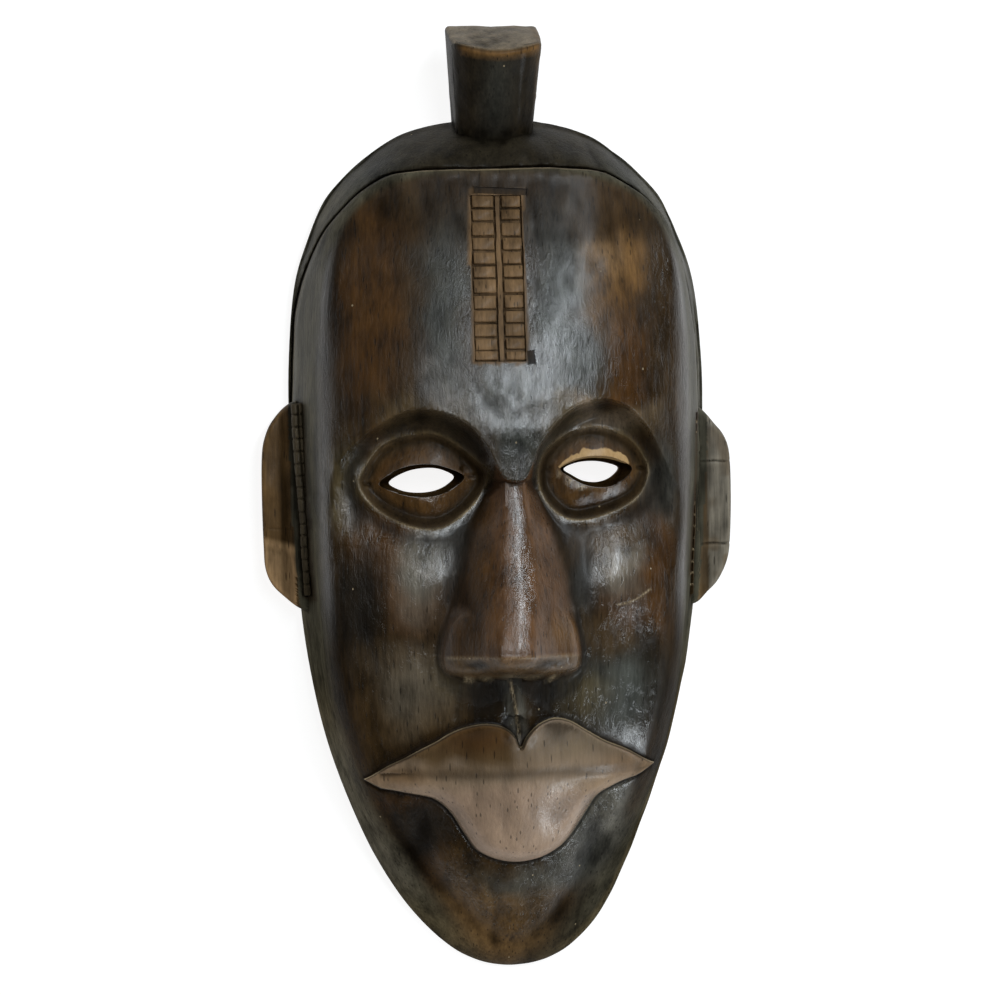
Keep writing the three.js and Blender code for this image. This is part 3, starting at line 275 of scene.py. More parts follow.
# face and side walls with no feature on them, for a given level along the middle
def bareSurface(crown, x, y, fromHood):
    reach, upward, inner, outer = polar(x, y)
    ridge = profileAt(ridgeHeights, headCentre[1] + upward * inner)
    edge = profileAt(edgeHeights, headCentre[1] + upward * outer)
    face = mix(profileAt(crown, y), ridge, np.clip(reach / inner, 0, 1.12) ** 2.3)
    behindHood = ease(fromHood, -0.2, 0.9)
    groove = ribbon(fromHood, 0.5, 0.8)
    inset = 1.8 * behindHood + 1.6 * groove
    drop = np.clip((reach - inner + inset) / (outer - inner), -4, 1.03)
    fullness = mix(1.15, 2.1, ease(upward, 0.75, 0.97))
    wall = mix(ridge, edge, np.sign(drop) * np.abs(drop) ** fullness) - 1.3 * behindHood - 1.7 * groove
    creased = np.where(reach <= inner, face, wall)
    fillet = mix(7, 15, ease(-upward, 0.45, 0.9))
    share = np.clip(0.5 + 0.5 * (wall - face) / fillet, 0, 1)
    rounded = mix(wall, face, share) - fillet * share * (1 - share)
    kept = np.maximum(ease(upward, 0.62, 0.85), 1 - ease(reach - inner, -30, -16))
    return mix(rounded, creased, kept)


# profiles by (y, value): level of the crest, its middle, and half widths of the flat crest and of the foot
noseShape = dict(
    crest=[(30, 74), (12, 74.8), (0, 77), (-14, 80.5), (-28, 84.5), (-41, 89.5), (-54, 95), (-66, 99)],
    middle=[(12, 2), (-14, 1.7), (-40, 1.2), (-66, -0.5)],
    flat=[(14, 4.5), (0, 4.95), (-28, 5.85), (-50, 6.3), (-66, 6.75)],
    foot=[(14, 9.5), (4, 14.5), (-5, 19), (-17, 23.3), (-29, 26.6), (-44, 29.4), (-53, 31), (-62, 33), (-68, 34)],
    tipY=-67, tipDroop=1.4, sag=1.1, wing=8, wingAt=20, wingWidth=14.5, wingLength=24, blend=12, under=11.5,
    tipLip=0.3, lowestY=-104, halfWidth=36)


# height of the nose over the face: a wedge with two wings, and a hollow under its tip
def noseRise(x, y):
    aside = np.abs(x)
    tipY = noseShape["tipY"] - noseShape["tipDroop"] * ease(aside, 8, 34)
    held = np.maximum(y, tipY)
    crest, middle, flat, foot = (profileAt(noseShape[k], held) for k in ("crest", "middle", "flat", "foot"))
    fromMiddle = np.abs(x - middle)
    fall = np.clip((fromMiddle - flat) / (foot - flat), 0, 1)
    soft = np.where(x > middle, 0.1, 0.05)                      # right ridge edge is worn rounder
    slope = np.where(fall < soft, fall * fall / (2 * soft), fall - soft / 2) / (1 - soft / 2)
    crest = crest - noseShape["sag"] * np.where(x > middle, 1, 0.15) * np.clip(fromMiddle / flat, 0, 1) ** 2
    bridge = (crest - profileAt(faceCrown, held)) * np.maximum(1 - slope, 0)
    across, along = (aside - noseShape["wingAt"]) / noseShape["wingWidth"], held - noseShape["tipY"]
    wing = noseShape["wing"] * ease(1 - across ** 2 - (along / noseShape["wingLength"]) ** 2, 0, 0.9)
    join = np.maximum(1 - np.abs(bridge - wing) / noseShape["blend"], 0)
    rounded = np.maximum(bridge, wing) + join * join * 2.4 * np.minimum(np.minimum(bridge, wing) / 3, 1)
    reach = noseShape["under"] * np.sqrt(np.maximum(1 - (np.maximum(aside - 18, 0) / 17) ** 2, 0.02))
    under = np.clip((tipY - y) / reach, 0, 1)
    rounded = rounded * (1 - 0.22 * under) * (1 - under ** 3) ** 0.8
    rounded = rounded + noseShape["tipLip"] * ribbon(y - tipY, 0.6, 1.1)        # lip of wood along the tip
    beyond = (y < noseShape["lowestY"]) | (aside > noseShape["halfWidth"])
    return np.where(beyond, 0, np.maximum(rounded, 0))


lipShape = dict(halfWidth=68, seamY=-123, seamWave=0.5, upperHeight=(4, 23), lowerRoll=(10, 7), lowerHeight=45,
                base=2.8, least=1.2, bulge=7.5, flatRight=0.11, seam=(0.5, 2.6), knifeLine=0.7, edgeLip=0.35)


# height of the lips at a given depth inside their outline
def lipsRise(x, y, depth):
    edge = ease(depth, -0.5, 0.7)
    across = np.clip(1 - (x / lipShape["halfWidth"]) ** 2, 0, 1)
    fromSeam = y - lipShape["seamY"] - lipShape["seamWave"] * np.sin(x / 11)
    t = np.clip(fromSeam / mix(*lipShape["upperHeight"], across), 0, 1)
    roll = 1 - (1 - np.clip(depth / mix(*lipShape["lowerRoll"], ease(x, 2, 14)), 0, 1)) ** 2.5
    chinSide = roll * (1 + 0.5 * np.clip(-fromSeam / lipShape["lowerHeight"], 0, 1))
    bulge = lipShape["bulge"] * across * np.where(fromSeam > 0, 1 - t ** 1.3, chinSide)
    tent = lipShape["flatRight"] * np.clip(x - 4, 0, 30) * ease(-fromSeam, 0, 26)
    seamDepth, seamWidth = lipShape["seam"]
    seam = seamDepth * ribbon(fromSeam, 0, seamWidth)
    line = lipShape["knifeLine"] * ribbon(depth, -1, 0.6) * mix(0.25, 1, ease(-fromSeam, 0, 8))
    lip = lipShape["edgeLip"] * ribbon(depth, 0.7, 0.6)
    return edge * np.maximum(lipShape["base"] + bulge - seam - tent, lipShape["least"]) - line + lip


# pairs are for the shallow and the deep side of an eye; the deep side lies deepSide degrees below the right
eyeShape = dict(deepSide=115, rim=(0.8, 1.6), trench=(2.4, 5.4), trenchWidth=(3.4, 4.8), ball=(4.6, 6.0),
                crease=1.1)


# ring and ball of an eye; the trench between them is deep below and at the outer side, shallow above
def eyeRise(eye, x, y, depth):
    cx, cy = np.mean(eye["rim"], axis=0)
    angle = np.arctan2(y - cy, x - cx)
    low = 0.5 + 0.5 * np.cos(angle + math.radians(eyeShape["deepSide"]))
    rimTop, trenchDepth, trenchWidth, ballTop = (
        mix(*eyeShape[k], low) for k in ("rim", "trench", "trenchWidth", "ball"))
    rim = rimTop * ease(depth, -6, 0.3) ** 1.2
    trench = trenchDepth * np.clip((depth - 0.2) / trenchWidth, 0, 1) ** 0.8
    ball = ballTop * ease(depth, 2.2, 15) ** 0.8
    crease = np.zeros(len(x))
    for (ax, ay), (bx, by) in eye["corners"]:
        t = np.clip(((x - ax) * (bx - ax) + (y - ay) * (by - ay)) / ((bx - ax) ** 2 + (by - ay) ** 2), 0, 1)
        gap = np.hypot(x - mix(ax, bx, t), y - mix(ay, by, t))
        crease = np.maximum(crease, eyeShape["crease"] * ribbon(gap, 0, 0.9))
    return np.where(depth < -6, 0, rim - trench + ball - crease * ease(depth, 1, 3))


# level of the whole carved front, with the lines that the stain and the wear need later
def carvedSurface(xGiven, yGiven):
    x = xGiven + 0.35 * softNoise(xGiven, yGiven, 13, 3)
    y = yGiven + 0.35 * softNoise(xGiven, yGiven, 11, 4)
    fromHood = sideDistance(hoodLine, x, y)
    fromBrow = sideDistance(browLine, x, y)
    mouth = insideDistanceNear(mouthLine, x, y, 12)
    rims = [insideDistanceNear(eye["rimLine"], x, y, 12) for eye in eyes]
    overhang = np.where(fromBrow > 0, 1, (1 - np.clip(-fromBrow / 12, 0, 1)) ** 2.2)
    low = bareSurface(faceCrown, x, y, fromHood)
    high = bareSurface(foreheadCrown, x, y, fromHood)
    z = mix(low, high, overhang)

    # cheekbones, hollow cheeks and the groove above the lips, then lips, eyes and nose
    z += 2.6 * hump(np.abs(x), y, 46, -27, 17, 21) * (1 - overhang)
    z += 2.5 * (hump(x, y, 59, -34, 15, 18) - hump(x, y, 36, -27, 11, 18)) * (1 - overhang)
    z -= 1.8 * hump(x, y, -61, -34, 15, 18) * (1 - overhang)
    z -= 3 * hump(np.abs(x), y, 41, -157, 12, 18)
    along = np.clip((-79 - y) / 25, 0, 1)
    aside = np.abs(x - mix(-0.6, 3.6, along))
    reach = ease(y, -112, -101) * (1 - ease(y, -79, -75))
    z -= (3 * np.maximum(1 - aside / 8, 0) + 0.9 * ribbon(aside, 0, 0.8)) * reach
    z += lipsRise(x, y, mouth)
    for eye, rim in zip(eyes, rims):
        z += eyeRise(eye, x, y, rim)
    nose = np.where(fromBrow < 0, noseRise(x, y), 0)
    z = np.where(nose > 0, np.maximum(z, low + nose), z)
    nostril = hump(np.abs(x + 0.5), y, 15.5, -71.2, 6, 2)
    z -= 1.6 * nostril
    return z, dict(fromHood=fromHood, fromBrow=fromBrow, mouth=mouth, rims=rims, nose=nose, nostril=nostril,
                   aside=aside, philtrum=reach)


# depth, and width, length and seed of the cuts
gouges = dict(walls=(0.6, (9, 26, 11)), hood=(2.0, (17, 15, 12)), hoodFine=(0.5, (6, 14, 17)),
              face=(0.3, (7, 22, 13)), lowForehead=(0.32, (5, 13, 14)))


# marks of the carver's tools: broad cuts on hood and walls, finer ones on the face
def toolMarks(x, y, about):
    def cuts(part, share, x, y):
        depth, settings = gouges[part]
        return depth * share * gougeCuts(x, y, *settings)

    reach, _, inner, _ = polar(x, y)
    walls = ease(reach - inner, -1, 4)
    hood = ease(about["fromHood"], 0, 2) * ease(y, 110, 150)
    face = (1 - walls) * (1 - ease(about["mouth"], -3, 1))
    lowForehead = hump(x, y, 12, 58, 45, 26) * ease(about["fromBrow"], 0, 5)
    marks = cuts("walls", walls, x, y) * (1 - hood)
    marks += cuts("hood", hood, x + 0.5 * np.abs(x), y + 0.35 * np.abs(x))
    marks += cuts("hoodFine", hood, x - y, y * 1.5)
    marks += cuts("face", face, x + 0.2 * y, y)
    marks += cuts("lowForehead", lowForehead, x + 0.7 * y, y - 0.3 * x)
    return marks + 0.3 * softNoise(x, y, 21, 15) + 0.14 * softNoise(x, y, 7, 16) * (1 - 0.5 * walls)


# ---- meshes

def newMesh(bm, name):
    bmesh.ops.recalc_face_normals(bm, faces=bm.faces[:])
    mesh = bpy.data.meshes.new(name)
    bm.to_mesh(mesh)
    bm.free()
    piece = bpy.data.objects.new(name, mesh)
    bpy.context.scene.collection.objects.link(piece)
    return piece


def spotsOf(verts):
    return np.array([v.co[:] for v in verts], float).reshape(-1, 3)


def moveTo(verts, x, y, z):
    for vert, spot in zip(verts, np.column_stack([x, y, z]).tolist()):
        vert.co = spot


def openEdges(bm):
    return [e for e in bm.edges if e.is_boundary]


# gives back the new edges and points
def extrudeEdges(bm, edges):
    grown = bmesh.ops.extrude_edge_only(bm, edges=edges)["geom"]
    return [[g for g in grown if isinstance(g, kind)] for kind in (bmesh.types.BMEdge, bmesh.types.BMVert)]


# a square sheet bent to the shape of the head, leaving out a margin all round
def discSheet(columns, rows, margin, crowd=1.0):
    bm = bmesh.new()
    bmesh.ops.create_grid(bm, x_segments=columns, y_segments=rows, size=1)
    u, v, _ = spotsOf(bm.verts).T
    x, y = u * np.sqrt(1 - v * v / 2), v * np.sqrt(1 - u * u / 2)
    angle = np.arctan2(y * headHalf[1], x * headHalf[0])        # rows stay level in the tall head
    share = 1 - (1 - np.clip(np.hypot(x, y), 0, 1)) ** crowd
    reach = share * (np.interp(angle, *headTable) - margin)
    moveTo(bm.verts, headCentre[0] + reach * np.cos(angle), headCentre[1] + reach * np.sin(angle), 0 * u)
    return bm


# closes a sheet into a solid: the open edge goes down in steps of (inset, level), then a flat bottom
def closeBelow(bm, steps):
    edge = openEdges(bm)
    for inset, level in steps:
        edge, verts = extrudeEdges(bm, edge)
        for vert in verts:
            offset = Vector((vert.co.x - headCentre[0], vert.co.y - headCentre[1]))
            offset.length = max(offset.length - inset, 0.01)
            vert.co = (headCentre[0] + offset.x, headCentre[1] + offset.y, level)
    bmesh.ops.triangle_fill(bm, edges=edge, use_beauty=True)


# splits the faces whose middles a test picks out
def refine(bm, wanted):
    bm.faces.ensure_lookup_table()
    middles = np.array([f.calc_center_median()[:] for f in bm.faces])
    chosen = np.nonzero(wanted(middles[:, 0], middles[:, 1]))[0]
    edges = {e for k in chosen for e in bm.faces[k].edges}
    bmesh.ops.subdivide_edges(bm, edges=list(edges), cuts=1, use_grid_fill=True)


# the tests: wide strips along the carved edges, and then just the lines of the hood, lips and eyes
def nearFeatures(width):
    def test(x, y):
        near = np.abs(sideDistance(hoodLine, x, y)) < 1.6 * width
        near |= np.abs(sideDistance(browLine, x, y) + 0.6 * width) < 1.8 * width
        near |= np.abs(insideDistanceNear(mouthLine, x, y, 12) + 0.2) < 1.4 * width
        for eye in eyes:
            near |= np.abs(insideDistanceNear(eye["rimLine"], x, y, 12) - 1.6) < 2.4 + 1.2 * width
        near |= np.abs(sideDistance(noseTip, x, y) - 1.5) < 1.2 + 1.6 * width
        near |= (np.hypot((np.abs(x) - 27) / 1.1, (y + 60) / 1.4) < 9.5 + width) & (y > -76)
        near |= (np.abs(x - 1.5) < 1.2 * width) & (np.abs(y + 92) < 15)
        near |= (np.abs(y + 123) < 1.5 + width) & (np.abs(x) < 66)
        near |= np.abs(sideDistance(scratch, x, y)) < 0.8 * width
        return near
    return test


def nearLines(x, y):
    near = np.abs(sideDistance(hoodLine, x, y) - 0.4) < 1.1
    near |= np.abs(insideDistanceNear(mouthLine, x, y, 12) - 0.1) < 0.7
    for eye in eyes:
        near |= np.abs(insideDistanceNear(eye["rimLine"], x, y, 12) - 0.5) < 0.9
    return near


head = dict(columns=86, rows=170, strips=(2.8, 1.0), rim=[(0.1, 7), (0.5, 2), (0.9, 0)])


def buildHead():
    bm = discSheet(head["columns"], head["rows"], 0)
    for width in head["strips"]:
        refine(bm, nearFeatures(width))
    refine(bm, nearLines)
    x, y, _ = spotsOf(bm.verts).T
    z, about = carvedSurface(x, y)
    moveTo(bm.verts, x, y, z - toolMarks(x, y, about))
    closeBelow(bm, head["rim"])
    return newMesh(bm, "carvedMask")


hollow = dict(wall=13, columns=64, rows=120, crowd=1.6, nose=(9, 17, -48, 32), flat=5, corner=0.62, crown=[
    (172, 14), (150, 44), (120, 56), (80, 62), (45, 54), (28, 46), (0, 46), (-15, 50.5), (-40, 55), (-60, 55),
    (-80, 52), (-100, 50.5), (-120, 50.5), (-135, 49), (-150, 44), (-165, 36.5), (-180, 28), (-195, 18), (-206, 8)])


# tool that scoops out the back, with the cuts of a wide gouge on it
def buildHollow():
    bm = discSheet(hollow["columns"], hollow["rows"], hollow["wall"], hollow["crowd"])
    x, y, _ = spotsOf(bm.verts).T
    reach, _, _, outer = polar(x, y)
    share = np.clip(reach / (outer - hollow["wall"]), 0, 1)
    rise, width, middle, length = hollow["nose"]
    roof = profileAt(hollow["crown"], y) + rise * hump(x, y, 0, middle, width, length)
    roof = roof * (1 - share ** hollow["flat"]) ** hollow["corner"]
    inner = ease(1 - share, 0.0, 0.06)
    cuts = 1.1 * gougeCuts(x, y, 13, 30, 21) + 0.4 * softNoise(x, y, 9, 22)
    moveTo(bm.verts, x, y, roof - cuts * inner)
    closeBelow(bm, [(0, -3), (0, -6)])
    return newMesh(bm, "hollowTool")


slot = dict(front=62, back=46, beyond=14, flareOut=0.6, flareIn=0.2, points=54,
            steps=(0, 0.4, 0.6, 0.75, 0.88, 1))


# tapering slot through the eye
def buildSlit(eye):
    count = slot["points"]
    front, back = (curveThrough(eye[k], count, True)[:-1] for k in ("slit", "behind"))
    grow = slot["beyond"] / (slot["front"] - slot["back"])
    outer, inner = mix(front, back, -grow * slot["flareOut"]), mix(back, front, -grow * slot["flareIn"])
    rings = [(mix(back, front, t), mix(slot["back"], slot["front"], t)) for t in slot["steps"]]
    rings = [(inner, slot["back"] - slot["beyond"]), *rings, (outer, slot["front"] + slot["beyond"])]
    bm = bmesh.new()
    first, level = rings[0]
    moveTo(bmesh.ops.create_circle(bm, segments=count, radius=1)["verts"], *first.T, np.full(count, level))
    edge = list(bm.edges)
    for (below, _), (ring, level) in zip(rings[:-1], rings[1:]):
        edge, verts = extrudeEdges(bm, edge)
        for vert in verts:
            at = np.hypot(below[:, 0] - vert.co.x, below[:, 1] - vert.co.y).argmin()
            vert.co = (*ring[at], level)
    bmesh.ops.holes_fill(bm, edges=openEdges(bm))
    return newMesh(bm, "slitTool")


knot = dict(middle=-0.8, baseY=166, baseHalf=17.3, baseFront=38.2, baseBack=8, topY=228.5, topHalf=22.2,
            topFront=61, topBack=24, slant=15.5, bevel=2.3)


# topknot: a block that widens upwards, its end cut on the slant
def buildKnot():
    bm = bmesh.new()
    bmesh.ops.create_cube(bm, size=1)
    bmesh.ops.subdivide_edges(bm, edges=bm.edges[:], cuts=15, use_grid_fill=True)
    across, along, out = spotsOf(bm.verts).T + 0.5
    half = mix(knot["baseHalf"], knot["topHalf"], along) + 2.2 * np.clip(1 - along / 0.14, 0, 1) ** 2
    front, back = (mix(knot["base" + end], knot["top" + end], along) for end in ("Front", "Back"))
    fromMiddle = np.abs(2 * across - 1)
    start = mix(0.58, 0.72, along)                              # where the front falls away to its sides
    front = front - 6 * np.maximum(fromMiddle - start, 0) / (1 - start) - 0.8 * ease(fromMiddle, 0.1, start)
    x = knot["middle"] + (2 * across - 1) * half * (1 - 0.05 * along * ease(out, 0.6, 1))
    y = mix(knot["baseY"], knot["topY"] + 1.2, along) - along ** 1.5 * knot["slant"] * out ** 1.15
    y -= along ** 2 * out ** 2 * (2.6 - 5.2 * fromMiddle ** 2)
    moveTo(bm.verts, x, y, mix(back, front, out))
    bm.normal_update()
    corners = [e for e in bm.edges if e.calc_face_angle(0) > math.radians(40)]
    bmesh.ops.bevel(bm, geom=corners, offset=knot["bevel"], segments=4, profile=0.5, affect="EDGES", material=-1)
    for vert in bm.verts:
        if vert.co.y > 172:
            x, y, z = vert.co
            wobble = softNoise(np.array([x + z]), np.array([y * 0.5 + z]), 6, 31)[0]
            chips = softNoise(np.array([x * 1.5 + 40]), np.array([y + z]), 2.6, 32)[0]
            vert.co += vert.normal * (0.28 * wobble + 0.12 * chips)
    return newMesh(bm, "knotBlock")


ears = [
    dict(outline=[(-84, 54), (-99.4, 51), (-108.4, 42), (-111.8, 34.5), (-113.2, 27), (-113.2, -17),
                  (-112.4, -28.5), (-109.6, -35.5), (-104, -41.5), (-95.5, -47.5), (-84, -49)],
         bandFrom=(-96.6, 50.5), bandTo=(-91.5, -40.6), bandWidth=5.4, inner=5, innerAt=105, cracks=[(-9, 0.12)],
         steps=[(-19, 1.1)]),
    dict(outline=[(84, 49), (98.5, 46), (106.2, 38), (110.6, 32.5), (113.2, 25), (113.2, -16.5),
                  (111.8, -27.5), (107, -38), (101.8, -43.5), (95.4, -48.8), (84, -50.5)],
         bandFrom=(94.9, 43.6), bandTo=(91.4, -44), bandWidth=2.6, inner=2.5, innerAt=103,
         cracks=[(19.5, 0.8), (-20.5, 1.1)], steps=[(18, 0.3)])]
board = dict(back=3, thickness=17, bevel=2.2, sideStep=5, rootX=82)


# one board ear; its front is a sheet between the head and the outline
def buildEar(ear):
    outer = curveThrough(ear["outline"], 200)
    side = math.copysign(1, outer[100, 0])
    order = np.argsort(outer[:, 1])
    bm = bmesh.new()
    bmesh.ops.create_grid(bm, x_segments=34, y_segments=170, size=1)
    u, v, _ = spotsOf(bm.verts).T
    u, v = (u + 1) / 2, (v + 1) / 2
    top, bottom = outer[:, 1].max() - 0.4, outer[:, 1].min() + 0.4
    y = mix(bottom, top, v)
    reach = np.interp(y, outer[order, 1], outer[order, 0])
    u = 1 - (1 - u) ** 1.35
    x = mix(board["rootX"] * side, reach, u)
    edge = np.maximum(insideDistance(np.vstack([outer, outer[:1]]), x, y), 0)
    edge = np.where(np.abs(x) < 90, board["bevel"], edge)
    fall = 1 - np.clip(edge / board["bevel"], 0, 1)
    z = board["back"] + board["thickness"] - board["bevel"] * (1 - np.sqrt(np.maximum(1 - fall ** 2, 0)))
    z += ear["inner"] * ease(np.abs(x), ear["innerAt"], ear["innerAt"] - 10)
    z -= 0.55 * gougeCuts(x, y, 8, 34, 41) + 0.25 * softNoise(x, y, 10, 42)
    for at, deep in ear["cracks"]:
        wander = at + 0.9 * softNoise(x, 0 * y, 5, 43) + 0.06 * (np.abs(x) - 100)
        z -= deep * ribbon(y, wander, 0.45) * ease(np.abs(x), 97, 103)
    for at, deep in ear["steps"]:
        z -= deep * ease(at - y + 0.35 * (np.abs(x) - 104), -3, 3) * ease(np.abs(x), 96, 101)
    moveTo(bm.verts, x, y, z)
    edge = openEdges(bm)
    for level in (board["back"] + board["sideStep"], board["back"]):
        edge, verts = extrudeEdges(bm, edge)
        for vert in verts:
            vert.co.z = level
    bmesh.ops.triangle_fill(bm, edges=edge, use_beauty=True)
    return newMesh(bm, "earBoard")


band = dict(height=31, back=5, stitches=16, tickPitch=5.6)


# stitched band between ear and head: a round cord bound at even steps, with a thin edge beside it
def buildBand(ear):
    start, end = np.array(ear["bandFrom"]), np.array(ear["bandTo"])
    length = np.linalg.norm(end - start)
    run = (end - start) / length
    side = np.array([-run[1], run[0]])
    bm = bmesh.new()
    bmesh.ops.create_grid(bm, x_segments=12, y_segments=260, size=1)
    u, v, _ = spotsOf(bm.verts).T
    along = (v + 1) / 2 * length
    pitch = length / band["stitches"]
    beat = along + 0.5 * softNoise(along, 0 * along, 9, 51)
    nick = ribbon(((beat / pitch + 0.5) % 1 - 0.5) * pitch, 0, 0.55)
    wide = ear["bandWidth"] / 2 * (1 - 0.08 * nick)
    across = u * wide + 0.35 * softNoise(along, 0 * along, 14, 52)
    z = band["height"] - 1.5 * np.abs(u) ** 2.5 - 1.1 * nick * (1 - 0.3 * np.abs(u))
    z = z + 0.3 * softNoise(along, u, 6, 53) - 1.3 * ribbon(u, 0.2, 0.16)
    spot = start + along[:, None] * run + across[:, None] * side
    moveTo(bm.verts, spot[:, 0], spot[:, 1], z)
    edge, verts = extrudeEdges(bm, openEdges(bm))
    for vert in verts:
        vert.co.z = band["back"]
    bmesh.ops.triangle_fill(bm, edges=edge, use_beauty=True)
    return newMesh(bm, "stitchedBand")


# overcuts beside the ladder are x, y, y of the level, height over it, turn, size
ladder = dict(top=145.2, bottom=67.5, topWidth=23.6, bottomWidth=24, topMiddle=-3.2, bottomMiddle=-3.6, depth=2.2,
              blockHeight=1.6, gap=0.75, rib=2, ribHeight=1.6, ribAt=0.53,
              rows=[0, 0.083, 0.16, 0.254, 0.34, 0.423, 0.506, 0.598, 0.692, 0.772, 0.858, 0.935, 1],
              overcuts=[(-0.9, 147.2, 147.4, 2.9, -0.05, (24.5, 3.2, 8)),
                        (10.6, 69.6, 69.6, 3.2, 0.12, (3.6, 6.4, 8))])


def ladderSpot(across, down):
    middle = mix(ladder["topMiddle"], ladder["bottomMiddle"], down)
    width = mix(ladder["topWidth"], ladder["bottomWidth"], down)
    return middle + (across - 0.5) * width, mix(ladder["top"], ladder["bottom"], down)


def levelAt(x, y):
    return carvedSurface(*(np.atleast_1d(np.asarray(value, float)) for value in (x, y)))[0]


# sheet over part of the ladder, thickened from one depth below the surface to another
def ladderSlab(bm, fromAcross, toAcross, rows, low, high, wobble, seed):
    made = bmesh.ops.create_grid(bm, x_segments=2, y_segments=rows, size=1)["verts"]
    u, v, _ = spotsOf(made).T
    down = (1 - v) / 2
    across = mix(fromAcross, toAcross, (u + 1) / 2)
    x, y = ladderSpot(across, down)
    x = x + wobble * softNoise(y + 50 * u, 0 * y, 7, seed)
    z = levelAt(x, y)
    moveTo(made, x, y, z + low)
    faces = list({f for v in made for f in v.link_faces})
    grown = bmesh.ops.extrude_face_region(bm, geom=faces)["geom"]
    tops = [g for g in grown if isinstance(g, bmesh.types.BMVert)]
    spots = spotsOf(tops)
    moveTo(tops, spots[:, 0], spots[:, 1], levelAt(spots[:, 0], spots[:, 1]) + high)


# the sunk bed of the ladder, and the cuts that ran past it
def buildTray():
    bm = bmesh.new()
    ladderSlab(bm, 0, 1, 40, -ladder["depth"], 8, 0.35, 61)
    tray = newMesh(bm, "ladderTray")
    bm = bmesh.new()
    for x, y, levelY, over, turn, size in ladder["overcuts"]:
        place = Matrix.Translation((x, y, levelAt(x, levelY)[0] + over)) @ Matrix.Rotation(turn, 4, "Z")
        bmesh.ops.create_cube(bm, size=1, matrix=place @ Matrix.Diagonal((*size, 1)))
    return tray, newMesh(bm, "overcuts")


# the middle rib and two columns of cushion-shaped blocks, every one cut a little differently
def buildLadderBlocks():
    hand = np.random.default_rng(7)
    bm = bmesh.new()
    ribLeft, ribRight = (ladder["ribAt"] + s * ladder["rib"] / 2 / ladder["topWidth"] for s in (-1, 1))
    gap = ladder["gap"] / ladder["topWidth"]
    for top, bottom in zip(ladder["rows"][:-1], ladder["rows"][1:]):
        for left, right in ((0.5 * gap, ribLeft - gap), (ribRight + gap, 1 - 0.5 * gap)):
            x0, y0 = ladderSpot(left, top)
            x1, y1 = ladderSpot(right, bottom)
            x, y = (x0 + x1) / 2 + hand.uniform(-0.2, 0.2), (y0 + y1) / 2 + hand.uniform(-0.2, 0.2)
            z = levelAt([x, x + 4, x], [y, y, y + 4])
            lean = Matrix.Rotation(-math.atan2(z[1] - z[0], 4) + hand.uniform(-0.09, 0.09), 4, "Y") \
                @ Matrix.Rotation(math.atan2(z[2] - z[0], 4) + hand.uniform(-0.12, 0.12), 4, "X")
            thick = ladder["blockHeight"] + 2 + hand.uniform(-0.25, 0.25)
            size = (x1 - x0 - hand.uniform(0, 0.5), y0 - y1 - ladder["gap"] - hand.uniform(0, 0.5), thick)
            spot = Matrix.Translation((x, y, z[0] - ladder["depth"] - 2 + thick / 2))
            bmesh.ops.create_cube(bm, size=1, matrix=spot @ lean @ Matrix.Diagonal((*size, 1)))
    bmesh.ops.bevel(bm, geom=bm.edges[:], offset=0.5, segments=2, profile=0.5, affect="EDGES", material=-1)
    blocks = newMesh(bm, "ladderBlocks")
    bm = bmesh.new()
    ladderSlab(bm, ribLeft, ribRight, 60, -ladder["depth"] - 2, ladder["ribHeight"] - ladder["depth"], 0.25, 62)
    return blocks, newMesh(bm, "ladderRib")


def combine(wood, tool, operation):
    modifier = wood.modifiers.new("cut", "BOOLEAN")
    modifier.object = tool
    modifier.operation = operation
    modifier.solver = "MANIFOLD"
    result = bpy.data.meshes.new_from_object(wood.evaluated_get(bpy.context.evaluated_depsgraph_get()))
    wood.modifiers.clear()
    wood.data = result
    bpy.data.objects.remove(tool)


# takes away loose crumbs that the cuts leave behind
def dropCrumbs(piece, smallest):
    bm = bmesh.new()
    bm.from_mesh(piece.data)
    left = set(bm.verts)
    while left:
        island, edge = set(), [left.pop()]
        while edge:
            vert = edge.pop()
            island.add(vert)
            fresh = {e.other_vert(vert) for e in vert.link_edges} & left
            left -= fresh
            edge.extend(fresh)
        if len(island) < smallest:
            bmesh.ops.delete(bm, geom=list(island), context="VERTS")
    bm.to_mesh(piece.data)
    bm.free()


mask = buildHead()
print("head sheet done,", len(mask.data.polygons), "faces")
for tool in [buildKnot()] + [build(ear) for ear in ears for build in (buildEar, buildBand)]:
    combine(mask, tool, "UNION")
print("knot, ears and bands joined")
for tool in [buildHollow(), *(buildSlit(eye) for eye in eyes), *buildTray()]:
    combine(mask, tool, "DIFFERENCE")
for tool in buildLadderBlocks():
    combine(mask, tool, "UNION")
dropCrumbs(mask, 2000)
print("hollow, slits and ladder cut,", len(mask.data.polygons), "faces,", len(mask.data.vertices), "points")


# ---- stain, wear, painted shade and painted highlights, laid on the points of the mesh

tones = dict(
    black=(0.0075, 0.0048, 0.0022), deep=(0.022, 0.012, 0.004), brown=(0.05, 0.021, 0.0045),
    umber=(0.06, 0.036, 0.015), amber=(0.125, 0.064, 0.02), tan=(0.27, 0.17, 0.085), red=(0.085, 0.043, 0.021),
    olive=(0.072, 0.055, 0.027), cool=(0.034, 0.036, 0.031), sage=(0.045, 0.041, 0.028),
    taupe=(0.2, 0.143, 0.094), pink=(0.24, 0.163, 0.112), stone=(0.082, 0.078, 0.064), ash=(0.15, 0.13, 0.1),
    inside=(0.12, 0.075, 0.042), grain=(0.1, 0.078, 0.05))
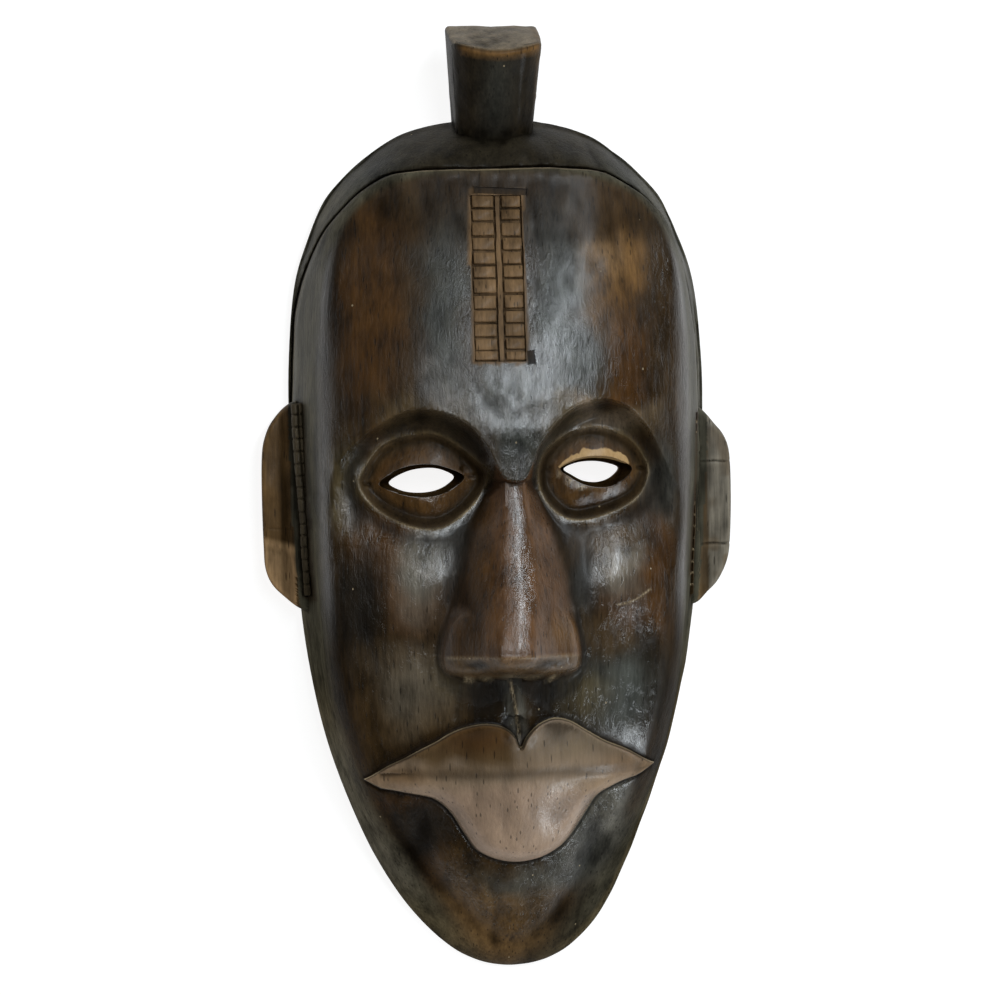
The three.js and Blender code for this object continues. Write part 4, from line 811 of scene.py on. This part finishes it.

# soft stain patches on the front, some painted highlight and sheen, in order: x, y, half width, half height, tone,
# strength
patches = [
    (-74, 90, 9, 70, "black", 0.9), (-59, 92, 15, 54, "brown", 1.0), (-60, 96, 14, 50, "deep", 0.3),
    (-50, 146, 18, 10, "deep", 0.8), (-29, 92, 12, 50, "cool", 0.9), (-42, 95, 6, 50, "deep", 0.7),
    (-3, 152, 56, 9, "deep", 1.0), (27, 84, 15, 56, "cool", 1.0), (4, 46, 26, 20, "cool", 0.9),
    (3, 26, 10, 15, "cool", 1.0), (54, 108, 15, 34, "amber", 0.9), (48, 120, 8, 14, "tan", 0.3),
    (58, 68, 14, 28, "brown", 1.0), (72, 120, 8, 30, "deep", 0.8), (76, 70, 8, 40, "deep", 0.8),
    (66, 92, 5, 12, "black", 0.7), (46, 138, 14, 9, "deep", 0.7), (-41, 36, 28, 9, "umber", 0.6),
    (42, 40, 26, 9, "umber", 0.9), (44, 41, 24, 7, "olive", 0.9), (46, 43, 20, 5, "taupe", 0.7),
    (-42, 41, 22, 6, "olive", 0.3), (-76, 8, 9, 20, "olive", 0.7), (76, 12, 9, 20, "cool", 0.8),
    # the stone patch on the left cheek is a painted highlight
    (-40, -34, 19, 22, "red", 0.7), (-39, -30, 12, 17, "stone", 0.9), (-60, -16, 16, 12, "brown", 0.7),
    (-71, -46, 13, 28, "black", 1.0), (-46, -82, 23, 26, "umber", 1.0), (-47, -80, 19, 19, "stone", 0.5),
    (-30, -70, 8, 14, "olive", 0.5), (-70, -95, 10, 22, "deep", 0.8), (48, -36, 22, 17, "red", 0.75),
    # the stone and taupe patches on the right cheek are a painted highlight
    (51, -30, 14, 12, "stone", 1.0), (51, -30, 10, 8, "taupe", 0.3), (32, -34, 7, 22, "cool", 0.8),
    (-27, -20, 8, 20, "cool", 0.6), (73, -30, 8, 34, "brown", 1.0), (40, -14, 24, 9, "umber", 0.8),
    (50, -84, 22, 22, "cool", 1.0), (32, -88, 12, 12, "olive", 0.7), (70, -90, 9, 26, "black", 0.85),
    (44, -58, 12, 10, "umber", 0.7), (-11, -91, 15, 11, "black", 0.9), (17, -91, 13, 11, "black", 0.9),
    (-40, -107, 24, 7, "deep", 0.9), (-50, -137, 14, 7, "brown", 0.8), (-44, -158, 19, 30, "black", 0.9),
    (-30, -176, 12, 12, "brown", 0.6), (-22, -172, 16, 12, "deep", 0.7), (42, -153, 18, 28, "cool", 0.9),
    # the stone patch on the right of the chin is a painted sheen
    (42, -152, 16, 28, "stone", 0.85), (44, -142, 10, 16, "ash", 0.2), (-4, -194, 30, 24, "umber", 1.0),
    (-6, -198, 22, 16, "amber", 0.35), (5, -175, 20, 6, "cool", 0.7), (28, -178, 12, 8, "cool", 0.6),
    (52, -126, 14, 6, "black", 0.6)]

# how relief shows in the colour: rounds of smoothing, full relief in mm, raised wear lightened, painted shade in
# hollows
relief = dict(rounds=14, full=0.25, lighten=0.45, hollowShade=0.5)

# shine of each part from 0 to 1, and duller spots on the face or right through: x, y, half width, half height,
# how much
shine = dict(
    highWall=0.3, lowWall=0.05, lips=0.55, hood=0.5, cuts=0.25, contrast=1.2,
    dullSpots=[(-48, 95, 34, 60, 0.5), (25, 105, 18, 22, 0.25), (-46, -153, 20, 26, 0.5), (-72, -46, 12, 28, 0.5)],
    dullThrough=[(72, 4, 14, 24, 0.6), (56, 108, 16, 42, 0.75), (-60, 90, 18, 50, 0.4)])
lipScuffs = [(62, -121.5, 6), (-60, -125.5, 6), (52, -129, 6), (-46, -112, 3), (24, -99, 4)]    # x, y, half width


# places and normals of the points, and how far each one stands above its smoothed surroundings
def meshRelief(mesh, rounds):
    count = len(mesh.vertices)
    pairs, spots, normals = np.empty(len(mesh.edges) * 2, int), np.empty(count * 3), np.empty(count * 3)
    mesh.edges.foreach_get("vertices", pairs)
    mesh.vertices.foreach_get("co", spots)
    mesh.vertices.foreach_get("normal", normals)
    a, b = pairs.reshape(-1, 2).T
    spots, normals = spots.reshape(-1, 3), normals.reshape(-1, 3)
    links = np.bincount(a, minlength=count) + np.bincount(b, minlength=count)
    soft = spots.copy()
    for _ in range(rounds):
        total = np.column_stack([np.bincount(a, soft[b, k], count) + np.bincount(b, soft[a, k], count)
                                 for k in range(3)])
        soft = mix(soft, total / np.maximum(links, 1)[:, None], 0.6)
    return spots, normals, ((spots - soft) * normals).sum(1)


# which part of the mask every point belongs to
def partsOf(spots, normals):
    x, y, z = spots.T
    surface, about = carvedSurface(x, y)
    reach, _, inner, outer = polar(x, y)
    onHead = reach < outer + 0.5
    chinward = ease(-y, 50, 150)
    wall = ease(reach - inner, 0.5 - 3 * chinward, 6 + 7 * chinward)
    warpX = 5 * softNoise(x, y, 22, 71) + 2.5 * softNoise(x, y, 8, 73)
    slit = np.maximum(*(insideDistanceNear(eye["slitLine"], x, y, 8) for eye in eyes))
    slitWall = ease(slit, -5.5, -1) * (z < surface - 0.5) * (z > 44)
    lips = ease(about["mouth"], -0.3, 0.9)
    onBand = np.zeros(len(x), bool)
    for ear in ears:
        line = np.array([ear["bandFrom"], ear["bandTo"]], float)
        onBand |= (z > 24) & (np.abs(sideDistance(line, x, y)) < ear["bandWidth"] / 2 + 0.2)
    front = onHead & (z > surface - 4.5) & (z < surface + 4)
    ladderMiddle = (ladder["topMiddle"] + ladder["bottomMiddle"]) / 2
    return SimpleNamespace(
        **{name: about[name] for name in ("fromHood", "mouth", "rims", "nostril", "aside", "philtrum")},
        x=x, y=y, z=z, surface=surface, up=normals[:, 2], topward=normals[:, 1], onHead=onHead, front=front,
        fromFace=reach - inner, fromOutside=reach - outer, chinward=chinward, warpX=warpX,
        wall=wall * (1 - 0.85 * hump(x + warpX, y, 2, -216, 36, 26)),
        hood=ease(about["fromHood"], -0.5, 1) * ease(y, 60, 130), nose=ease(about["nose"], 0.5, 5),
        slitWall=slitWall, lips=lips,
        shadedLobe=lips * ease(y + 3.5 * softNoise(x, y, 9, 77), -121, -114) * (1 - ease(x, -3, 3)),
        inLadder=front & (np.abs(x - ladderMiddle) < 12.6) & (y > ladder["bottom"] - 1) & (y < ladder["top"] + 2.8),
        knot=(np.abs(x - knot["middle"]) < 24) & ((y > 184.5) | ((y > 168) & (z > surface + 1.0))),
        onEar=~onHead & (np.abs(x) > 88) & (np.abs(y) < 60), onBand=onBand,
        inHollow=(z < surface - 6) & (reach < outer - 6) & (slitWall < 0.05),
        broken=0.5 + 0.5 * softNoise(x, y, 9, 81))


# tones of stain, painted shade and painted highlight, and how strongly each one is laid on, in order
def stainAndPaintedLightLayers(p):
    x, y, z = p.x, p.y, p.z
    warpY = 8 * softNoise(x, y, 26, 72) + 4 * softNoise(x, y, 9, 74)
    for cx, cy, rx, ry, tone, share in patches:
        gap = ((x + p.warpX - cx) / rx) ** 2 + ((y + warpY - cy) / ry) ** 2
        yield tone, share * np.exp(-gap ** 1.5)

    # side walls and hood
    left, right = ease(-x, -10, 30), ease(x, 10, 40) * ease(-y, 60, 100)
    yield "black", 0.7 * ease(p.fromFace, -7, 0) * ease(140 - y, 0, 30) * (1 - p.chinward)
    yield "sage", p.wall
    yield "olive", 0.6 * p.wall * left * ease(-y, 70, 110)
    yield "stone", 0.6 * p.wall * left * ease(-y, 85, 125) * ease(y, -205, -170)
    yield "black", 0.9 * right * ease(p.fromFace, -9, 2) * mix(1, 0.4, ease(-y, 120, 145))
    yield "olive", 0.5 * right * ease(p.fromOutside, -7, -3)
    yield "black", 0.8 * p.hood * ease(y - 0.25 * np.abs(x), 118, 150)
    # grey on the sides of the hood: partly the wood's olive-grey, partly a painted sheen
    yield "cool", 0.5 * p.hood * hump(np.abs(x), y, 62, 150, 16, 22)
    yield "sage", 0.55 * p.hood * ease(np.abs(x), 58, 84)
    yield "black", ribbon(p.fromHood, 0.8, 0.9) * ease(y, 40, 60) * mix(0.2, 0.75, ease(y, 118, 145))

    # eyes, nose and lips
    for rim in p.rims:
        yield "umber", 0.8 * ease(rim, -1.5, 1.5)
        yield "brown", 0.6 * ease(rim, 4, 8)
        # painted shadow in the lower part of the trench round the eyeball
        yield "black", 0.45 * ribbon(rim, 2.6, 2.0) * ease(y - 12 + 0.4 * (np.abs(x) - 40), 8, -12)
        yield "olive", 0.35 * ribbon(rim, -0.2, 1.0)
    yield "brown", 0.9 * p.nose
    yield "deep", 0.55 * p.nose * ease(np.abs(x - 1) - 9 + 0.1 * (y + 66), 3, 12) * ease(-x, -12, 6)
    yield "red", 0.6 * p.nose * ease(12 - np.abs(x - 1.5), 0, 6)
    yield "red", 0.6 * p.nose * ease(x, 6, 14)
    yield "amber", 0.6 * p.nose * hump(x, y, 25, -57, 9, 9)
    yield "umber", 0.8 * p.nose * ease(-y, 66, 70)
    yield "stone", 0.7 * ribbon(p.aside, 2.6, 2) * p.philtrum * p.front
    # painted shade on the walls of the eye slits; the lower walls are laid lighter brown
    yield "deep", p.slitWall
    yield "umber", 0.5 * p.slitWall * ease(13 - y, 0, 8)
    # painted shadow in the nostrils
    yield "black", 0.95 * p.nostril
    yield "taupe", p.lips * mix(0.7, 1, ease(-y, 112, 130))
    # painted shade on the left lobe of the upper lip
    yield "umber", 0.9 * p.shadedLobe
    yield "brown", 0.85 * p.shadedLobe * hump(x, y, -14, -107, 20, 8)
    yield "umber", 0.55 * p.lips * hump(x, y, 3, -114, 9, 6)
    yield "olive", 0.4 * p.lips * hump(x, y, 30, -110, 20, 7)
    yield "umber", 0.45 * p.lips * ribbon(p.mouth, 2, 2.5) * ease(-y, 126, 140) * (x < 8)
    yield "umber", 0.25 * p.lips * ribbon(y, -122.5, 2.2)
    yield "pink", 0.75 * p.lips * ease(-y - 0.1 * np.abs(x), 124, 132)
    yield "umber", 0.5 * p.lips * hump(x + p.warpX, y, -24, -121, 26, 5)
    yield "amber", 0.55 * p.lips * np.maximum(hump(x, y, 54, -122, 13, 7), hump(x, y, -52, -125, 14, 5))
    yield "tan", 0.4 * p.lips * hump(x, y, 40, -131, 14, 4)

    # ladder and topknot
    yield "umber", 0.9 * p.inLadder
    yield "amber", p.inLadder * mix(0.55, 0.4, (ladder["top"] - y) / (ladder["top"] - ladder["bottom"]))
    yield "taupe", 0.2 * p.inLadder
    # painted shade in the gaps of the ladder, where the wood lies deeper
    yield "deep", 0.4 * p.inLadder * ease(p.surface - 1.4 - z, 0, 0.8)
    yield "deep", 0.35 * p.inLadder * ease(y, 120, 150)
    yield "black", 0.7 * p.knot
    yield "cool", 0.35 * p.knot * hump(x, y, -1, 195, 7, 22) * (z > 30)
    yield "grain", p.knot * ease(p.topward, 0.4, 0.7)
    yield "umber", 0.7 * p.knot * ease(x, 16.5, 19)

    # ears, bands and the hollow
    leftEar, rightEar = p.onEar * (x < 0), p.onEar * (x > 0)
    yield "umber", 0.9 * leftEar
    yield "ash", 0.9 * rightEar
    yield "umber", 0.5 * rightEar * ease(softNoise(x, y, 7, 75), 0, 0.5)
    yield "umber", 0.85 * rightEar * ease(x, 102.6, 101.8)
    yield "amber", 0.35 * leftEar
    yield "deep", 0.75 * leftEar * ease(-x, 105.5, 104) * ease(28 - y, 0, 16)
    yield "tan", 0.9 * p.onEar * (x < -98) * ease(-16 - y - 0.25 * (x + 104), -2, 2)
    # painted shade on the parts of the ears that turn away from the front
    yield "deep", 0.4 * p.onEar * ease(p.up, 0.75, 0.5)
    yield "deep", p.onBand * mix(0.55, 0.9, x > 0)
    yield "inside", 1.0 * p.inHollow
    yield "sage", 0.6 * (z < 4) * p.onHead


# light knife lines, bare wood, and the worn strip along the top of the knot
def wearOf(p, raised):
    x, y = p.x, p.y
    wear = 0.6 * ribbon(p.aside, 0, 0.5) * p.philtrum * p.front
    for rim in p.rims:
        wear += 0.75 * ribbon(rim, 0.1, 0.55) * p.broken ** 2 * ease(20 - y, -8, 10)
    fromTip = sideDistance(noseTip, x, y)
    wear += 0.45 * ribbon(fromTip, 0.3, 0.8) * (np.abs(x) < 31) * p.broken * p.front
    wear += 0.8 * ribbon(fromTip, -10.5, 0.8) * (np.abs(x) < 22) * p.broken * p.front
    lid = insideDistanceNear(eyes[1]["slitLine"], x, y, 6)
    wear += 0.8 * ribbon(lid, -0.6, 0.6) * (1 - ease(y, 14, 18)) * (1 - ease(x, 36, 50)) * p.front
    wear += 0.8 * (p.onBand & (x > 0)) * (np.abs(y / band["tickPitch"] % 1 - 0.5) > 0.4) * ease(p.up, 0.35, 0.6)
    wear += 0.7 * ribbon(sideDistance(scratch, x, y), 0, 0.45) * p.front
    lidWidth = mix(0.3, 2.6, ease(x, 25, 38)) * mix(1, 0.5, ease(x, 48, 60))
    bare = ease(lid, -lidWidth - 1.2, -lidWidth + 0.9) * (lid < 2) * ease(y, 17, 20) * ease(x, 22, 25) \
        * (1 - ease(x, 55, 60)) * (p.z < p.surface + 1) * (p.z > p.surface - 6)
    bare += 0.35 * hump(x, y, -20.5, 14.6, 3.2, 2.2) * p.front
    for cx, cy, r in lipScuffs:
        bare += 0.5 * hump(x, y, cx, cy, r, r * 0.4) * (p.mouth > 0) * p.broken
    stripY = knot["topY"] - knot["slant"] - 2.6 + 5.2 * ((x - knot["middle"]) / 22) ** 2
    strip = p.knot * (p.z > 50) * ribbon(y, stripY, 1.5) * ease(20.5 - np.abs(x), 0, 3)
    bare += strip * (0.1 + 0.3 * p.broken)
    bare += 0.25 * raised * p.broken * (p.onEar | p.front) * (1 - p.lips)
    return wear, bare, strip


# 1 where the wax shines most
def glossOf(p, sunken):
    x, y = p.x, p.y
    walls = mix(shine["highWall"], shine["lowWall"], ease(-y, -40, 60))
    gloss = mix(1, walls, np.clip(p.wall + p.onEar, 0, 1)) * mix(1, shine["lips"], p.lips * p.front)
    gloss = mix(gloss, shine["hood"], p.hood * ease(y, 100, 140))
    gloss *= 1 - ease(p.slitWall, 0.2, 0.6)
    gloss *= (1 - 0.6 * ease(y, 112, 134) * p.front) * (1 - 0.85 * p.shadedLobe)
    gloss = mix(gloss, 1, 0.9 * p.lips * ease(hump(x, y, 24, -142, 15, 16), 0.3, 0.6))
    for rim in p.rims:
        gloss *= (1 - 0.6 * ribbon(rim, 2.8, 2.4)) * (1 - 0.45 * ease(rim, 2, 6) * ease(y, 12, 20))
    gloss *= 1 - 0.92 * p.wall * ease(-y, 10, 80)
    gloss *= 1 - 0.85 * ease(p.fromFace, -14, -3) * ease(-y, 25, 70)
    gloss *= 1 - 0.3 * p.nose * ease(3 - x, 0, 5)
    for *place, share in shine["dullSpots"]:
        gloss *= 1 - share * hump(x, y, *place)
    gloss = np.where(p.inHollow | p.inLadder, shine["cuts"], gloss) * (1 - 0.5 * p.knot) * (1 - 0.6 * sunken)
    for *place, share in shine["dullThrough"]:
        gloss *= 1 - share * hump(x, y, *place)
    return np.clip(gloss, 0, 1) ** shine["contrast"]


def paint(mesh):
    spots, normals, proud = meshRelief(mesh, relief["rounds"])
    raised, sunken = (np.clip(side * proud / relief["full"], 0, 1) for side in (1, -1))
    p = partsOf(spots, normals)
    colour = np.tile(tones["deep"], (len(spots), 1))
    for tone, share in stainAndPaintedLightLayers(p):
        colour = mix(colour, np.array(tones[tone]), np.clip(share, 0, 1)[:, None])
    # raised wood is lightened as wear, and the hollows are darkened with painted shade
    colour *= (1 + relief["lighten"] * raised - relief["hollowShade"] * sunken)[:, None]
    wear, bare, strip = wearOf(p, raised)
    colour = mix(colour, np.array(tones["amber"]), np.clip(strip, 0, 1)[:, None])

    # distances for the knife lines: on a steep face a distance seen from above is longer on the wood
    steep = np.clip(p.up, 0.15, 1)
    lipEdge = np.where(p.front, np.clip(p.mouth / steep, -6, 6), -6)
    hoodEdge = np.where(p.front, np.clip(p.fromHood / steep, -6, 6), 6)
    hoodEdge = np.where(p.y > 40, hoodEdge, np.where(np.abs(p.x) < 97, -6, 6))
    values = dict(wear=np.clip(wear, 0, 1), bare=np.clip(bare, 0, 1), gloss=glossOf(p, sunken),
                  lipEdge=lipEdge, hoodEdge=hoodEdge)
    for name, value in values.items():
        mesh.attributes.new(name, "FLOAT", "POINT").data.foreach_set("value", value.astype(np.float32))
    rgba = np.column_stack([colour, np.ones(len(spots))]).astype(np.float32)
    mesh.attributes.new("stainAndPaintedLight", "FLOAT_COLOR", "POINT").data.foreach_set("color", rgba.ravel())


paint(mask.data)
print("stain painted")


# ---- waxed wood

# noises are (scale, stretch, detail, roughness, distortion); shade, height and rough say how much each counts
wood = dict(
    noises=dict(fibre=(900, (1, 0.07, 1), 4, 0.55, 0), streak=(170, (1, 0.06, 1), 5, 0.6, 0.3),
                cloud=(34, (1, 0.6, 1), 5, 0.62, 0.4), blotch=(95, (1, 0.55, 1), 3, 0.6, 0),
                fine=(1500, (1, 0.35, 1), 2, 0.55, 0), crackle=(330, (1, 0.45, 1), 5, 0.66, 1.2)),
    pores=(640, (1, 0.16, 1), 0.3, 0.4), nicks=(95, (1, 0.8, 1), 0.05, 0.4),      # scale, stretch, size, chance
    shade=dict(streak=1.8, fibre=1.3, cloud=2.0, blotch=1.3), lipCalm=0.62,
    height=dict(fibre=0.22, streak=0.35, fine=0.1, crackle=0.75, pores=-0.12, nicks=-0.3), bump=0.55,
    roughness=0.62, polish=0.42, rough=dict(cloud=0.2, fine=0.12), specular=0.52, coat=0.22, coatRoughness=0.2,
    poreColour=(0.006, 0.0045, 0.003), lineColour=(0.5, 0.39, 0.24), nickColour=(0.42, 0.33, 0.2),
    bareColours=((0.36, 0.2, 0.075), (0.66, 0.45, 0.22)))


def makeWood():
    material = bpy.data.materials.new("waxedWood")
    material.use_nodes = True
    nodes, links = material.node_tree.nodes, material.node_tree.links
    nodes.clear()

    # each socket takes a link or a plain value
    def put(socket, value):
        if isinstance(value, bpy.types.NodeSocket):
            links.new(value, socket)
        else:
            socket.default_value = value

    def node(kind, **sockets):
        made = nodes.new("ShaderNode" + kind)
        for name, value in sockets.items():
            put(made.inputs[name], value)
        return made

    def calculate(operation, a, b, clamp=False):
        made = nodes.new("ShaderNodeMath")
        made.operation, made.use_clamp = operation, clamp
        put(made.inputs[0], a)
        put(made.inputs[1], b)
        return made.outputs[0]

    def add(a, b, clamp=False):
        return calculate("ADD", a, b, clamp)

    def less(a, b):
        return calculate("SUBTRACT", a, b)

    def times(a, b):
        return calculate("MULTIPLY", a, b)

    def ramp(value, low, high):
        made = node("MapRange", Value=value, **{"From Min": low, "From Max": high})
        made.interpolation_type = "SMOOTHSTEP"
        return made.outputs[0]

    def blend(share, a, b, mode="MIX"):
        made = nodes.new("ShaderNodeMix")
        made.data_type, made.blend_type = "RGBA", mode
        for name, value in (("Factor", share), ("A", a), ("B", b)):
            put(made.inputs[name], (*value, 1) if isinstance(value, tuple) else value)
        return made.outputs["Result"]

    def attribute(name, output="Fac"):
        made = nodes.new("ShaderNodeAttribute")
        made.attribute_name = name
        return made.outputs[output]

    coordinates = nodes.new("ShaderNodeTexCoord").outputs["Object"]

    def stretched(stretch):
        return node("Mapping", Vector=coordinates, Scale=stretch).outputs[0]

    def noise(scale, stretch, detail, roughness, distortion):
        made = node("TexNoise", Vector=stretched(stretch), Scale=scale, Detail=detail, Roughness=roughness,
                    Distortion=distortion)
        return made.outputs["Fac"]

    def specks(scale, stretch, size, chance):
        made = node("TexVoronoi", Vector=stretched(stretch), Scale=scale)
        near = less(1.0, ramp(made.outputs["Distance"], size * 0.5, size))
        split = node("SeparateColor", Color=made.outputs["Color"])
        return times(near, calculate("LESS_THAN", split.outputs[0], chance))

    # 1 between two distances from a carved edge, soft at both ends
    def edgeLine(distance, low, high, soft):
        fall = less(1.0, ramp(distance, high - soft, high + soft))
        return times(ramp(distance, low - soft, low + soft), fall)

    stainAndPaintedLight = attribute("stainAndPaintedLight", "Color")
    wear, bare, gloss, lipEdge, hoodEdge = (attribute(k) for k in ("wear", "bare", "gloss", "lipEdge", "hoodEdge"))
    texture = {name: noise(*settings) for name, settings in wood["noises"].items()}
    texture.update(pores=specks(*wood["pores"]), nicks=specks(*wood["nicks"]))

    # colour: stain and painted light and shade with grain in it, pores, knife lines, bare wood and nicks
    shade = 0.0
    for name, amount in wood["shade"].items():
        shade = add(times(less(texture[name], 0.5), amount), shade)
    shade = times(shade, less(1.0, times(ramp(lipEdge, 0, 1), wood["lipCalm"])))
    tone = blend(1.0, stainAndPaintedLight, calculate("MAXIMUM", add(1.05, shade), 0.25), "MULTIPLY")
    tone = blend(times(texture["pores"], 0.6), tone, wood["poreColour"])
    thin = ramp(texture["cloud"], 0.36, 0.56)
    lines = times(edgeLine(lipEdge, -0.4, 0.4, 0.22), add(0.3, times(thin, 0.7)))
    lines = add(lines, times(edgeLine(hoodEdge, -0.9, -0.3, 0.25), times(thin, 0.55)))
    lines = add(lines, times(wear, ramp(texture["fine"], 0.3, 0.62)), True)
    tone = blend(lines, tone, wood["lineColour"])
    bareShare = ramp(add(bare, times(less(texture["streak"], 0.5), 0.7)), 0.38, 0.62)
    bareShare = times(bareShare, ramp(bare, 0.02, 0.2))
    tone = blend(bareShare, tone, blend(texture["fibre"], *wood["bareColours"]))
    tone = blend(times(texture["nicks"], 0.75), tone, wood["nickColour"])

    # roughness falls where the gloss is painted; bare wood is matt
    rough = less(wood["roughness"], times(gloss, wood["polish"]))
    for name, amount in wood["rough"].items():
        rough = add(rough, times(less(texture[name], 0.5), amount))
    rough = add(rough, times(bareShare, 0.25), True)
    height = 0.0
    for name, amount in wood["height"].items():
        height = add(times(texture[name], amount), height)
    bump = node("Bump", Strength=wood["bump"], Distance=0.001, Height=height)
    shader = node("BsdfPrincipled", Roughness=rough, Normal=bump.outputs[0], **{
        "Base Color": tone, "Specular IOR Level": times(gloss, wood["specular"]),
        "Coat Weight": times(gloss, wood["coat"]), "Coat Roughness": wood["coatRoughness"]})
    node("OutputMaterial", Surface=shader.outputs[0])
    return material


mask.data.materials.clear()
mask.data.materials.append(makeWood())
mask.data.transform(toFrame)
mask.data.update()
for polygon in mask.data.polygons:
    polygon.use_smooth = True
mask.data.set_sharp_from_angle(angle=math.radians(48))
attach(mask, "root")
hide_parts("mask")
print("wood finished")


# ---- floor and light

coolWhite, warmWhite = (0.86, 0.93, 0.98), (1, 0.98, 0.94)
studio = dict(
    floorSize=24, floorDrop=0.0004, floorTone=0.3, glow=0.88, horizon=(0.6, 0.59, 0.57),
    zenith=(0.035, 0.029, 0.02), fade=(0.02, 0.28), aim=(0, 0, 0.05),
    lamps=[dict(name="window", side=16, lift=21, distance=1.5, size=(0.15, 1.0), power=14, colour=coolWhite),
           dict(name="fill", side=-14, lift=10, distance=1.7, size=(0.16, 0.5), power=4, colour=warmWhite),
           dict(name="lowLight", side=49, lift=-40, distance=1.4, size=(0.24, 0.28), power=5.5,
                colour=coolWhite)])


# pale floor that glows a little, so that it stays white around the mask
def makeFloor():
    bm = bmesh.new()
    bmesh.ops.create_grid(bm, x_segments=1, y_segments=1, size=studio["floorSize"])
    bmesh.ops.translate(bm, verts=bm.verts[:], vec=(0, 0, -studio["floorDrop"]))
    floor = newMesh(bm, "floor")
    paper = bpy.data.materials.new("paleFloor")
    paper.use_nodes = True
    nodes, links = paper.node_tree.nodes, paper.node_tree.links
    nodes.clear()
    matt, glow = nodes.new("ShaderNodeBsdfDiffuse"), nodes.new("ShaderNodeEmission")
    both, output = nodes.new("ShaderNodeAddShader"), nodes.new("ShaderNodeOutputMaterial")
    matt.inputs["Color"].default_value = (studio["floorTone"],) * 3 + (1,)
    glow.inputs["Strength"].default_value = studio["glow"]
    links.new(matt.outputs[0], both.inputs[0])
    links.new(glow.outputs[0], both.inputs[1])
    links.new(both.outputs[0], output.inputs[0])
    floor.data.materials.append(paper)


# dark above and light near the horizon, so that only the walls pick up a sheen from it
def makeSky():
    sky = bpy.data.worlds.new("sky")
    sky.use_nodes = True
    nodes, links = sky.node_tree.nodes, sky.node_tree.links
    split, fade, tint = (nodes.new("ShaderNode" + kind) for kind in ("SeparateXYZ", "MapRange", "Mix"))
    links.new(nodes.new("ShaderNodeTexCoord").outputs["Generated"], split.inputs[0])
    links.new(split.outputs["Z"], fade.inputs["Value"])
    fade.inputs["From Min"].default_value, fade.inputs["From Max"].default_value = studio["fade"]
    tint.data_type = "RGBA"
    links.new(fade.outputs[0], tint.inputs["Factor"])
    for name, colour in (("A", "horizon"), ("B", "zenith")):
        tint.inputs[name].default_value = (*studio[colour], 1)
    links.new(tint.outputs["Result"], nodes["Background"].inputs["Color"])
    bpy.context.scene.world = sky


# a soft box in the direction (side, lift) in degrees from straight above, facing the mask
def makeLamp(lamp):
    data = bpy.data.lights.new(lamp["name"], "AREA")
    data.shape, data.size, data.size_y = "RECTANGLE", *lamp["size"]
    data.energy, data.color = lamp["power"], lamp["colour"]
    box = bpy.data.objects.new(lamp["name"], data)
    side, lift = math.radians(lamp["side"]), math.radians(lamp["lift"])
    out = Vector((math.sin(side) * math.cos(lift), math.sin(lift), math.cos(side) * math.cos(lift)))
    place = Matrix.Translation(Vector(studio["aim"]) + out * lamp["distance"])
    box.matrix_world = place @ out.to_track_quat("Z", "Y").to_matrix().to_4x4()
    bpy.context.scene.collection.objects.link(box)


makeFloor()
makeSky()
for lamp in studio["lamps"]:
    makeLamp(lamp)
bpy.context.scene.view_settings.view_transform = "Standard"
print("studio set")
